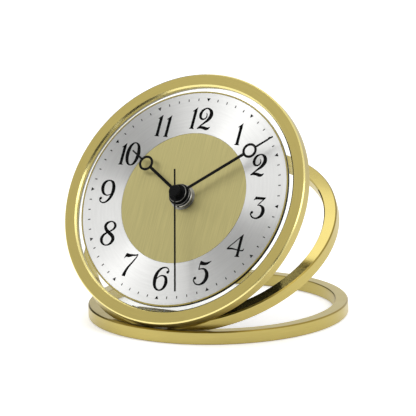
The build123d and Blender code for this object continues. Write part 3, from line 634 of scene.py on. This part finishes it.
# Rings

satin = satin_brass("satin_brass")
polish = polished_brass("polished_brass", brass_tone, 0.04)
# Painted highlight: lighter polished brass for the front ring's chamfers and lip bevel
painted_highlight_edge = polished_brass("painted_highlight_edge", highlight_edge_tone, 0.16)
dial_rim = polished_brass("dial_rim", shade(brass_tone, 0.8), 0.1)
# Painted shade: darker brass for the chamfers that should look dark
painted_shade_edge = polished_brass("painted_shade_edge", painted_shade_tone, 0.25)


def base_ring():
    top = ring_thickness
    channel = felt_width / 2 + felt_side_gap
    corners = [
        (ring_inner, soft_edge), (ring_inner + soft_edge, 0), (ring_middle - channel, 0),
        (ring_middle - channel, soft_edge), (ring_middle + channel, soft_edge), (ring_middle + channel, 0),
        (ring_outer - soft_edge, 0), (ring_outer, soft_edge), (ring_outer, top - edge_chamfer),
        (ring_outer - edge_chamfer, top), (ring_inner + soft_edge, top), (ring_inner, top - soft_edge),
    ]
    ring = turned("base_ring_body", corners, base_frame)
    dressed(ring, "base", "satin_brass", [satin, painted_shade_edge], "base_ring")
    # All chamfers in darker brass, painted shade along the ring's edges
    paint_where(ring, 1, lambda centre, normal: slanted(abs(normal.z)))


def middle_ring_cutters():
    """Gap for the hinge, clearance to the rings below and above, and a scallop round the pin."""
    reach = 2 * ring_outer
    cutters = bmesh.new()
    add_box(cutters, (-middle_gap_half, -reach, -reach), (middle_gap_half, 0, reach))
    flats = [(-middle_tilt, -reach, base_bottom + ring_thickness + relief_gap),
             (head_tilt - middle_tilt, front_bottom - relief_gap, reach)]
    for tilt, low, high in flats:
        turn = Matrix.Translation((0, 0, -middle_bottom)) @ folded_frame(tilt, 0)
        for corner in add_box(cutters, (-reach, -reach, low), (reach, reach, high)):
            corner.co = turn @ corner.co
    scallop = bmesh.ops.create_cone(cutters, cap_ends=True, segments=scallop_segments,
                                    radius1=scallop_radius, radius2=scallop_radius, depth=2 * scallop_half)
    pin_place = middle_frame.inverted() @ hinge
    lay = Matrix.Translation(pin_place) @ Matrix.Rotation(pi / 2, 4, "Y")
    bmesh.ops.transform(cutters, matrix=lay, verts=scallop["verts"])
    return cutters


def middle_ring():
    top = ring_thickness
    corners = [
        (ring_inner, soft_edge), (ring_inner + soft_edge, 0), (ring_outer - soft_edge, 0),
        (ring_outer, soft_edge), (ring_outer, top - edge_chamfer), (ring_outer - edge_chamfer, top),
        (ring_inner + edge_chamfer, top), (ring_inner, top - edge_chamfer),
    ]
    ring = turned("middle_ring_body", corners, middle_frame)
    cut_away(ring, middle_ring_cutters())
    dressed(ring, "middle_prop", "satin_brass", [satin, polish, painted_shade_edge], "middle_ring")

    def near_top(centre):
        return abs(centre.z - top) < edge_chamfer

    paint_where(ring, 1, lambda centre, normal: normal.z > least_slant_share and near_top(centre))
    # Outer top chamfer in darker brass, a painted dark reflection
    paint_where(ring, 2, lambda centre, normal: slanted(normal.z) and near_top(centre)
                and centre.to_2d().length > ring_middle)


def front_ring():
    back = -ring_thickness
    rebate = ring_inner + lip_width + glass_side_gap
    groove = rebate + snap_groove_depth
    glass_back = -lip_depth - glass_thickness
    corners = [
        (ring_inner, -lip_bevel), (ring_inner + lip_bevel, 0), (ring_outer - edge_chamfer, 0),
        (ring_outer, -edge_chamfer), (ring_outer, back + back_chamfer), (ring_outer - back_chamfer, back),
        (rebate, back), (rebate, glass_back - snap_groove_width), (groove, glass_back - snap_groove_width),
        (groove, glass_back), (rebate, glass_back), (rebate, -lip_depth), (ring_inner, -lip_depth),
    ]
    ring = turned("front_ring_body", corners, front_frame)
    dressed(ring, "clock_head", "satin_brass", [satin, painted_highlight_edge], "front_ring")
    # Chamfers and lip bevel in lighter brass, a painted highlight line round the ring
    paint_where(ring, 1, lambda centre, normal: slanted(normal.z))


# Glass and dial


def glass_disc():
    radius = ring_inner + lip_width
    front = -lip_depth
    back = front - glass_thickness
    corners = [(glass_hole_radius, back), (radius - glass_bevel, back), (radius, back + glass_bevel),
               (radius, front - glass_bevel), (radius - glass_bevel, front), (glass_hole_radius, front)]
    disc = turned("glass_pane", corners, front_frame)
    dressed(disc, "clock_head", "clear_glass", [clear_glass("clear_glass")], "glass_disc")


def dial_plate():
    seat = -leaf_thickness
    rim_inner = dial_radius - rim_width
    corners = [(glass_hole_radius, plate_back), (dial_radius, plate_back), (dial_radius, rim_proud),
               (rim_inner, rim_proud), (rim_inner, seat), (glass_hole_radius, seat)]
    plate = turned("dial_body", corners, dial_frame)
    dressed(plate, "clock_head", "satin_brass", [black_lacquer("dial_black"), dial_rim], "dial_plate")

    def on_rim(centre, normal):
        radius = centre.to_2d().length
        outward = normal.to_2d().dot(centre.to_2d())
        return (centre.z > seat + leaf_gap and radius > rim_inner - leaf_gap
                and outward < outward_share * radius)

    paint_where(plate, 1, on_rim)


def dial_leaf(name, inner, outer, slot, material, node):
    corners = [(inner, -leaf_thickness), (outer, -leaf_thickness), (outer, -leaf_bevel),
               (outer - leaf_bevel, 0), (inner + leaf_bevel, 0), (inner, -leaf_bevel)]
    leaf = turned(name, corners, dial_frame, leaf_bevel / 4)
    dressed(leaf, "clock_head", slot, [material], node)


def dial_leaves():
    dial_leaf("chapter_leaf", centre_disc_radius + leaf_gap, dial_radius - rim_width - leaf_gap,
              "spun_aluminium", spun_silver("spun_silver"), "dial_chapter_ring")
    dial_leaf("centre_leaf", glass_hole_radius, centre_disc_radius, "satin_brass",
              brushed_gold("brushed_gold"), "dial_centre_disc")


# Hands

lacquer = black_lacquer("black_lacquer")
# Painted highlight: mid-grey steel on the hand collars' chamfers, for the pale arcs that light draws on their
# edges
painted_highlight_collar = steel("painted_highlight_collar", shade(steel_tone, 0.45), 0.3)


def ring_section(inner, outer, low, high, bevel):
    return [(inner, low), (outer, low), (outer, high - bevel), (outer - bevel, high), (inner + bevel, high),
            (inner, high - bevel)]


def add_bar(bm, start, end, start_width, end_width, low, high):
    start_half, end_half = start_width / 2, end_width / 2
    outline = [(-start_half, start), (start_half, start), (end_half, end), (-end_half, end)]
    add_prism(bm, outline, low, high, blade_bevel)


def turned_clockwise(angle):
    return dial_frame @ Matrix.Rotation(-radians(angle), 4, "Z")


def open_hand(name, body, node, size):
    """Hand with a rod, an open ring and a finer tip, on a bored collar."""
    low = size["lift"]
    high = low + blade_thickness
    centre_up = size["ring_centre"]
    ring_radius = (size["ring_outer"] + size["ring_inner"]) / 2
    bm = bmesh.new()
    rod_start = size["bore"] + collar_chamfer
    add_bar(bm, rod_start, centre_up - ring_radius, size["rod"], size["rod"], low, high)
    add_bar(bm, centre_up + ring_radius, size["length"], size["neck"], size["tip"], low, high)
    section = ring_section(size["ring_inner"], size["ring_outer"], low, high, blade_bevel)
    add_turned(bm, section, small_ring_segments, (0, centre_up))
    foot = low - collar_below
    crown = foot + collar_height
    chamfer_start = size["collar"] - collar_chamfer
    collar = [(size["bore"], foot), (size["collar"], foot), (size["collar"], crown - collar_chamfer),
              (chamfer_start, crown), (size["bore"], crown)]
    add_turned(bm, rounded(collar, blade_bevel / 3), small_ring_segments)
    hand = finished(name, bm, turned_clockwise(size["angle"]))
    dressed(hand, body, "black_lacquer", [lacquer, painted_highlight_collar], node)

    def on_chamfer(centre, normal):
        return (least_collar_slant_share < normal.z < most_slant_share and centre.z > high
                and chamfer_start < centre.to_2d().length < size["collar"])

    # Collar chamfers in mid-grey steel, a painted highlight arc
    paint_where(hand, 1, on_chamfer)


def second_hand():
    low = second_lift
    high = low + second_thickness
    half = second_width / 2
    bm = bmesh.new()
    outline = [(-half, -second_tail), (half, -second_tail), (half, second_length), (-half, second_length)]
    add_prism(bm, outline, low, high, second_thickness / 4)
    boss = [(second_bore, low - second_boss_drop), (second_boss_radius, low - second_boss_drop),
            (second_boss_radius, high), (second_bore, high)]
    add_turned(bm, rounded(boss, blade_bevel), second_boss_segments)
    hand = finished("second_hand_blade", bm, turned_clockwise(second_angle))
    dressed(hand, "second_train", "black_lacquer", [lacquer], "second_hand")


def second_cap():
    low = second_lift + second_thickness
    high = low + cap_height
    hollow = second_bore / 4
    corners = [(hollow, low), (cap_radius, low), (cap_radius, high - cap_round),
               (cap_radius - cap_round, high), (hollow, high)]
    cap = turned("second_hand_button", corners, dial_frame, cap_round, small_ring_segments)
    dressed(cap, "second_train", "black_lacquer", [lacquer], "second_hand_cap")


# Numerals: pen strokes and loops of (across, up, width), balls of (across, up, radius) and solid corners of
# (across, up), all as shares of the numerals' height, with the foot line at zero

one_shares = dict(
    strokes=[[(0.0, 0.01, 0.125), (0.0, 0.45, 0.118), (0.0, 0.82, 0.125)]],
    corners=[[(0.065, 1.0), (0.0625, 0.76), (-0.0625, 0.76), (-0.07, 0.795), (-0.135, 0.79), (-0.13, 0.815)],
             [(-0.115, 0.0), (0.115, 0.0), (0.115, 0.022), (0.062, 0.06), (-0.062, 0.06), (-0.115, 0.022)]],
)
two_shares = dict(
    strokes=[[(-0.01, 0.77, 0.015), (0.033, 0.667, 0.04), (0.02, 0.556, 0.05), (-0.085, 0.474, 0.06),
              (-0.215, 0.511, 0.09), (-0.278, 0.667, 0.12), (-0.215, 0.87, 0.095), (-0.02, 0.978, 0.05),
              (0.174, 0.87, 0.12), (0.226, 0.667, 0.158), (0.137, 0.463, 0.125), (-0.048, 0.278, 0.07),
              (-0.215, 0.111, 0.04), (-0.28, 0.03, 0.03)],
             [(-0.285, 0.035, 0.04), (-0.178, 0.093, 0.09), (-0.03, 0.1, 0.115), (0.137, 0.06, 0.125),
              (0.235, 0.08, 0.085), (0.307, 0.156, 0.015)]],
)
three_shares = dict(
    strokes=[[(0.235, 0.95, 0.03), (0.11, 0.8, 0.036), (-0.019, 0.649, 0.034)],
             [(-0.06, 0.612, 0.03), (0.093, 0.604, 0.06), (0.224, 0.504, 0.12), (0.269, 0.328, 0.15),
              (0.205, 0.149, 0.115), (0.037, 0.037, 0.06), (-0.149, 0.067, 0.05), (-0.261, 0.187, 0.05),
              (-0.275, 0.26, 0.03)]],
    balls=[(-0.228, 0.276, 0.063)],
    corners=[[(-0.28, 0.813), (-0.224, 0.963), (-0.2, 0.985), (-0.157, 0.975), (0.261, 0.975), (0.19, 0.866),
              (-0.112, 0.858), (-0.21, 0.845), (-0.265, 0.805)]],
)
four_shares = dict(
    strokes=[[(0.19, 0.965, 0.03), (-0.08, 0.665, 0.036), (-0.385, 0.325, 0.036)],
             [(-0.4, 0.312, 0.055), (-0.3, 0.325, 0.07), (-0.15, 0.33, 0.058), (0.056, 0.306, 0.042),
              (0.243, 0.285, 0.04), (0.345, 0.305, 0.05), (0.375, 0.385, 0.015)]],
    corners=[[(0.213, 1.02), (0.207, 0.03), (0.085, 0.03), (0.085, 0.83)],
             [(0.03, 0.0), (0.262, 0.0), (0.262, 0.022), (0.207, 0.06), (0.085, 0.06), (0.03, 0.022)]],
)
five_shares = dict(
    strokes=[[(-0.172, 0.98, 0.034), (-0.172, 0.82, 0.034), (-0.172, 0.665, 0.034)],
             [(-0.18, 0.668, 0.034), (-0.056, 0.722, 0.045), (0.093, 0.712, 0.075), (0.224, 0.586, 0.13),
              (0.276, 0.381, 0.158), (0.205, 0.164, 0.12), (0.019, 0.03, 0.06), (-0.168, 0.055, 0.046),
              (-0.28, 0.175, 0.046), (-0.3, 0.265, 0.03)],
             [(-0.189, 0.975, 0.165), (0.0, 0.95, 0.125), (0.14, 0.975, 0.1), (0.32, 1.1, 0.01)]],
    balls=[(-0.252, 0.288, 0.064)],
)
six_shares = dict(
    strokes=[[(0.277, 0.85, 0.03), (0.262, 0.905, 0.04), (0.195, 0.995, 0.04), (0.056, 1.035, 0.05),
              (-0.131, 0.951, 0.085), (-0.261, 0.746, 0.13), (-0.295, 0.485, 0.148), (-0.243, 0.224, 0.12),
              (-0.131, 0.075, 0.08), (0.019, 0.026, 0.055), (0.168, 0.093, 0.085), (0.25, 0.261, 0.13),
              (0.257, 0.41, 0.138), (0.187, 0.597, 0.105), (0.037, 0.668, 0.055), (-0.112, 0.623, 0.04),
              (-0.24, 0.485, 0.03)]],
    balls=[(0.222, 0.84, 0.066)],
)
seven_shares = dict(
    strokes=[[(0.3, 1.0, 0.03), (0.243, 0.847, 0.045), (0.112, 0.623, 0.06), (-0.037, 0.381, 0.09),
              (-0.115, 0.157, 0.12), (-0.138, 0.0, 0.15)],
             [(-0.225, 0.93, 0.155), (-0.1, 0.92, 0.13), (0.05, 0.95, 0.075), (0.18, 0.96, 0.06),
              (0.31, 1.005, 0.035)]],
    corners=[[(-0.325, 0.785), (-0.262, 1.0), (-0.215, 1.025), (-0.19, 0.86), (-0.25, 0.845), (-0.3, 0.785)]],
)
eight_shares = dict(
    loops=[[(0.0, 1.09, 0.045), (-0.187, 1.0, 0.105), (-0.235, 0.851, 0.12), (-0.149, 0.7, 0.125),
            (0.037, 0.571, 0.13), (0.224, 0.44, 0.135), (0.285, 0.28, 0.135), (0.187, 0.097, 0.09),
            (0.0, 0.022, 0.045), (-0.187, 0.105, 0.09), (-0.272, 0.291, 0.128), (-0.205, 0.475, 0.095),
            (0.0, 0.627, 0.05), (0.168, 0.745, 0.075), (0.235, 0.888, 0.105), (0.168, 1.025, 0.08)]],
)
nine_shares = dict(
    strokes=[[(0.21, 0.45, 0.03), (0.12, 0.395, 0.04), (-0.011, 0.377, 0.05), (-0.179, 0.478, 0.1),
              (-0.272, 0.72, 0.142), (-0.216, 0.944, 0.11), (-0.019, 1.045, 0.05), (0.168, 0.963, 0.105),
              (0.265, 0.739, 0.142), (0.269, 0.478, 0.135), (0.183, 0.216, 0.105), (0.045, 0.067, 0.07),
              (-0.104, 0.03, 0.05), (-0.235, 0.1, 0.045), (-0.285, 0.195, 0.03)]],
    balls=[(-0.235, 0.216, 0.066)],
)
nought_shares = dict(
    loops=[[(0.0, 1.041, 0.045), (-0.185, 0.9, 0.11), (-0.261, 0.534, 0.15), (-0.185, 0.165, 0.11),
            (0.0, 0.026, 0.045), (0.185, 0.165, 0.11), (0.261, 0.534, 0.15), (0.185, 0.9, 0.11)]],
)
digit_shares = [nought_shares, one_shares, two_shares, three_shares, four_shares, five_shares, six_shares,
                seven_shares, eight_shares, nine_shares]
# How far each hour's foot line lies from the hour's point on the dial, and how far its digits stand aside
foot_and_places_shares = {
    1: (-0.634, [0.056]), 2: (-0.6, [0.01]), 3: (-0.634, [-0.037]), 4: (-0.511, [-0.093]),
    5: (-0.567, [-0.037]), 6: (-0.504, [-0.019]), 7: (-0.53, [0.112]), 8: (-0.627, [0.056]),
    9: (-0.59, [-0.063]), 10: (-0.615, [-0.272, 0.205]), 11: (-0.534, [-0.213, 0.216]),
    12: (-0.567, [-0.463, 0.086]),
}


def smooth_line(points, closed):
    """Points of an even curve through the given points, with their widths."""
    count = len(points)
    spans = count if closed else count - 1
    line = []
    for span in range(spans):
        if closed:
            knots = [Vector(points[(span + shift) % count]) for shift in (-1, 0, 1, 2)]
        else:
            knots = [Vector(points[min(max(span + shift, 0), count - 1)]) for shift in (-1, 0, 1, 2)]
        for step in range(pen_steps):
            share = step / pen_steps
            line.append(0.5 * (2 * knots[1] + (knots[2] - knots[0]) * share
                               + (2 * knots[0] - 5 * knots[1] + 4 * knots[2] - knots[3]) * share ** 2
                               + (3 * knots[1] - knots[0] - 3 * knots[2] + knots[3]) * share ** 3))
    return line if closed else line + [Vector(points[-1])]


def add_pen_stroke(bm, points, scale, shift, closed=False):
    """Flat ink ribbon along a curve, as wide as the pen is at each point."""
    line = smooth_line(points, closed)
    count = len(line)
    sections = []
    for index, point in enumerate(line):
        before = line[index - 1] if closed or index else point
        after = line[(index + 1) % count] if closed or index < count - 1 else point
        along = (after - before).to_2d().normalized()
        side = Vector((-along.y, along.x)) * (point.z * pen_gain_share + pen_least_share) / 2
        left = (point.to_2d() + side) * scale + shift
        right = (point.to_2d() - side) * scale + shift
        section = ((left, 0), (right, 0), (right, ink_thickness), (left, ink_thickness))
        sections.append([bm.verts.new((edge.x, edge.y, height)) for edge, height in section])
    for index in range(count if closed else count - 1):
        near, far = sections[index], sections[(index + 1) % count]
        for corner in range(len(near)):
            following = (corner + 1) % len(near)
            bm.faces.new((near[corner], near[following], far[following], far[corner]))
    if not closed:
        bm.faces.new(sections[0])
        bm.faces.new(sections[-1])


def add_digit(bm, shares, scale, shift):
    for points in shares.get("strokes", []):
        add_pen_stroke(bm, points, scale, shift)
    for points in shares.get("loops", []):
        add_pen_stroke(bm, points, scale, shift, closed=True)
    for across, up, radius in shares.get("balls", []):
        turns = [2 * pi * point / ball_points for point in range(ball_points)]
        circle = [Vector((across + radius * cos(turn), up + radius * sin(turn))) for turn in turns]
        add_prism(bm, [point * scale + shift for point in circle], 0, ink_thickness)
    for corners in shares.get("corners", []):
        add_prism(bm, [Vector(corner) * scale + shift for corner in corners], 0, ink_thickness)


def clock_place(radius, share):
    """Point at a radius and a share of a turn clockwise from twelve."""
    return Vector((radius * sin(2 * pi * share), radius * cos(2 * pi * share)))


def numerals(ink):
    bm = bmesh.new()
    for hour, (foot, places) in foot_and_places_shares.items():
        middle = clock_place(numeral_radius, hour / hours_round)
        for digit, across in zip(str(hour), places):
            shift = middle + Vector((across, foot)) * numeral_height
            add_digit(bm, digit_shares[int(digit)], numeral_height, shift)
    piece = finished("dial_numerals", bm, dial_frame)
    dressed(piece, "clock_head", "black_lacquer", [ink])


def minute_marks(ink):
    """Triangles that point inwards at the hours and short dashes between them."""
    bm = bmesh.new()
    for minute in range(minutes_round):
        turn = Matrix.Rotation(-2 * pi * minute / minutes_round, 2)
        if minute % (minutes_round // hours_round) == 0:
            half, reach = hour_mark_width / 2, hour_mark_length / 2
            outline = [(-half, reach), (0, -reach), (half, reach)]
        else:
            half, reach = minute_mark_width / 2, minute_mark_length / 2
            outline = [(-half, reach), (-half, -reach), (half, -reach), (half, reach)]
        place = Vector((0, mark_radius))
        add_prism(bm, [turn @ (Vector(point) + place) for point in outline], 0, ink_thickness)
    piece = finished("dial_minute_marks", bm, dial_frame)
    dressed(piece, "clock_head", "black_lacquer", [ink])


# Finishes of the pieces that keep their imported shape


def paint_packed():
    metal = machined_brass("machined_brass")
    bright = steel("bright_steel", steel_tone, 0.32)
    black = moulded_plastic("black_plastic", black_plastic_tone, 0.45)
    pale = moulded_plastic("pale_plastic", pale_plastic_tone, 0.4)
    finishes = {
        "satin_brass": metal, "plain_brass": metal, "spun_aluminium": bright, "bright_steel": bright,
        "black_lacquer": lacquer, "black_plastic": black, "pale_plastic": pale,
        "board_green": circuit_green("circuit_green"), "winding_copper": copper_winding("copper_winding"),
        "cell_sleeve": cell_sleeve("cell_sleeve"), "dark_felt": felt("dark_felt"),
        "black_rubber": moulded_plastic("black_rubber", rubber_tone, 0.7),
    }
    for node in frame["nodes"].values():
        for slot in node.material_slots:
            if slot.material and slot.material.name in finishes:
                slot.material = finishes[slot.material.name]


# Stage


def shown_level(tree, unseen, seen):
    """Level for rays that see a surface, mirror it or reach it through glass, and another for the rest."""
    path = tree.nodes.new("ShaderNodeLightPath")
    level = path.outputs["Is Camera Ray"]
    for kind in ("Is Glossy Ray", "Is Transmission Ray"):
        either = tree.nodes.new("ShaderNodeMath")
        either.operation = "MAXIMUM"
        tree.links.new(level, either.inputs[0])
        tree.links.new(path.outputs[kind], either.inputs[1])
        level = either.outputs["Value"]
    spread = tree.nodes.new("ShaderNodeMapRange")
    spread.inputs["To Min"].default_value = unseen
    spread.inputs["To Max"].default_value = seen
    tree.links.new(level, spread.inputs["Value"])
    return spread.outputs["Result"]


def floor():
    bm = bmesh.new()
    bmesh.ops.create_grid(bm, x_segments=1, y_segments=1, size=floor_half)
    piece = finished("floor", bm, Matrix.Identity(4))
    surface = Surface("floor_paper", roughness=0.9)
    fibre = surface.grain(paper_fibre, 2.0)
    surface.into("Base Color", surface.tones(fibre, (0.3, 0.7), paper_tones))
    white = surface.node("Emission", {"Strength": shown_level(surface.tree, 0.0, floor_glow)})
    both = surface.node("AddShader", {0: surface.shader.outputs["BSDF"], 1: white.outputs["Emission"]})
    surface.tree.links.new(both.outputs["Shader"], surface.output.inputs["Surface"])
    piece.data.materials.append(surface.material)


def white_room():
    """White all round for what looks at it or mirrors it, and a plain level of light on the object."""
    world = bpy.data.worlds.new("white_room")
    bpy.context.scene.world = world
    world.use_nodes = True
    background = world.node_tree.nodes["Background"]
    background.inputs["Color"].default_value = (1, 1, 1, 1)
    level = shown_level(world.node_tree, room_light, room_white)
    world.node_tree.links.new(level, background.inputs["Strength"])


def facing(place, back):
    """Frame at a place whose Z axis points along a direction."""
    return Matrix.Translation(place) @ back.to_track_quat("Z", "Y").to_matrix().to_4x4()


def softbox(name, towards, size, power):
    """Square soft lamp that faces the clock."""
    lamp = bpy.data.lights.new(name, "AREA")
    lamp.shape = "SQUARE"
    lamp.size = size
    lamp.energy = power
    direction = Vector(towards).normalized()
    aim = Vector((0, 0, ring_outer))
    linked(name, lamp).matrix_world = facing(aim + direction * lamp_reach, direction)


def dark_card(name, place, back, width, height):
    """Dark card at a place that only mirrors show."""
    bm = bmesh.new()
    across, up = width / 2, height / 2
    outline = ((-across, -up), (across, -up), (across, up), (-across, up))
    bm.faces.new([bm.verts.new((x, y, 0)) for x, y in outline])
    piece = finished(name, bm, facing(Vector(place), Vector(back)))
    surface = Surface(name, roughness=1.0)
    cloth = surface.grain(card_cloth, 2.0)
    surface.into("Base Color", surface.tones(cloth, (0.3, 0.7), card_tones))
    piece.data.materials.append(surface.material)
    piece.visible_camera = False
    piece.visible_diffuse = False
    piece.visible_transmission = False
    piece.visible_shadow = False


def camera():
    right = Vector((cos(camera_azimuth), sin(camera_azimuth), 0))
    back = Vector((sin(camera_azimuth) * cos(camera_elevation), -cos(camera_azimuth) * cos(camera_elevation),
                   sin(camera_elevation)))
    up = back.cross(right)
    turned_right = cos(camera_roll) * right + sin(camera_roll) * up
    turned_up = cos(camera_roll) * up - sin(camera_roll) * right
    table = Vector((0, 0, table_lift))
    place = camera_distance * back + aim_across * turned_right + aim_up * turned_up + table
    view = bpy.data.cameras.new("camera")
    view.lens = view.sensor_width * focal_pixels / picture_pixels
    view.clip_end = 4 * floor_half
    piece = linked("camera", view)
    axes = Matrix((turned_right, turned_up, back)).transposed().to_4x4()
    piece.matrix_world = Matrix.Translation(place) @ axes
    bpy.context.scene.camera = piece


base_ring()
middle_ring()
front_ring()
glass_disc()
dial_plate()
dial_leaves()
open_hand("hour_hand_blade", "hour_train", "hour_hand", hour_hand)
open_hand("minute_hand_blade", "minute_train", "minute_hand", minute_hand)
second_hand()
second_cap()
dial_ink = printing_ink("printing_ink")
numerals(dial_ink)
minute_marks(dial_ink)
paint_packed()
floor()
white_room()
for name, lamp in lamps.items():
    softbox(name, **lamp)
for name, card in cards.items():
    dark_card(name, **card)
camera()
bpy.context.scene.view_settings.view_transform = "Standard"
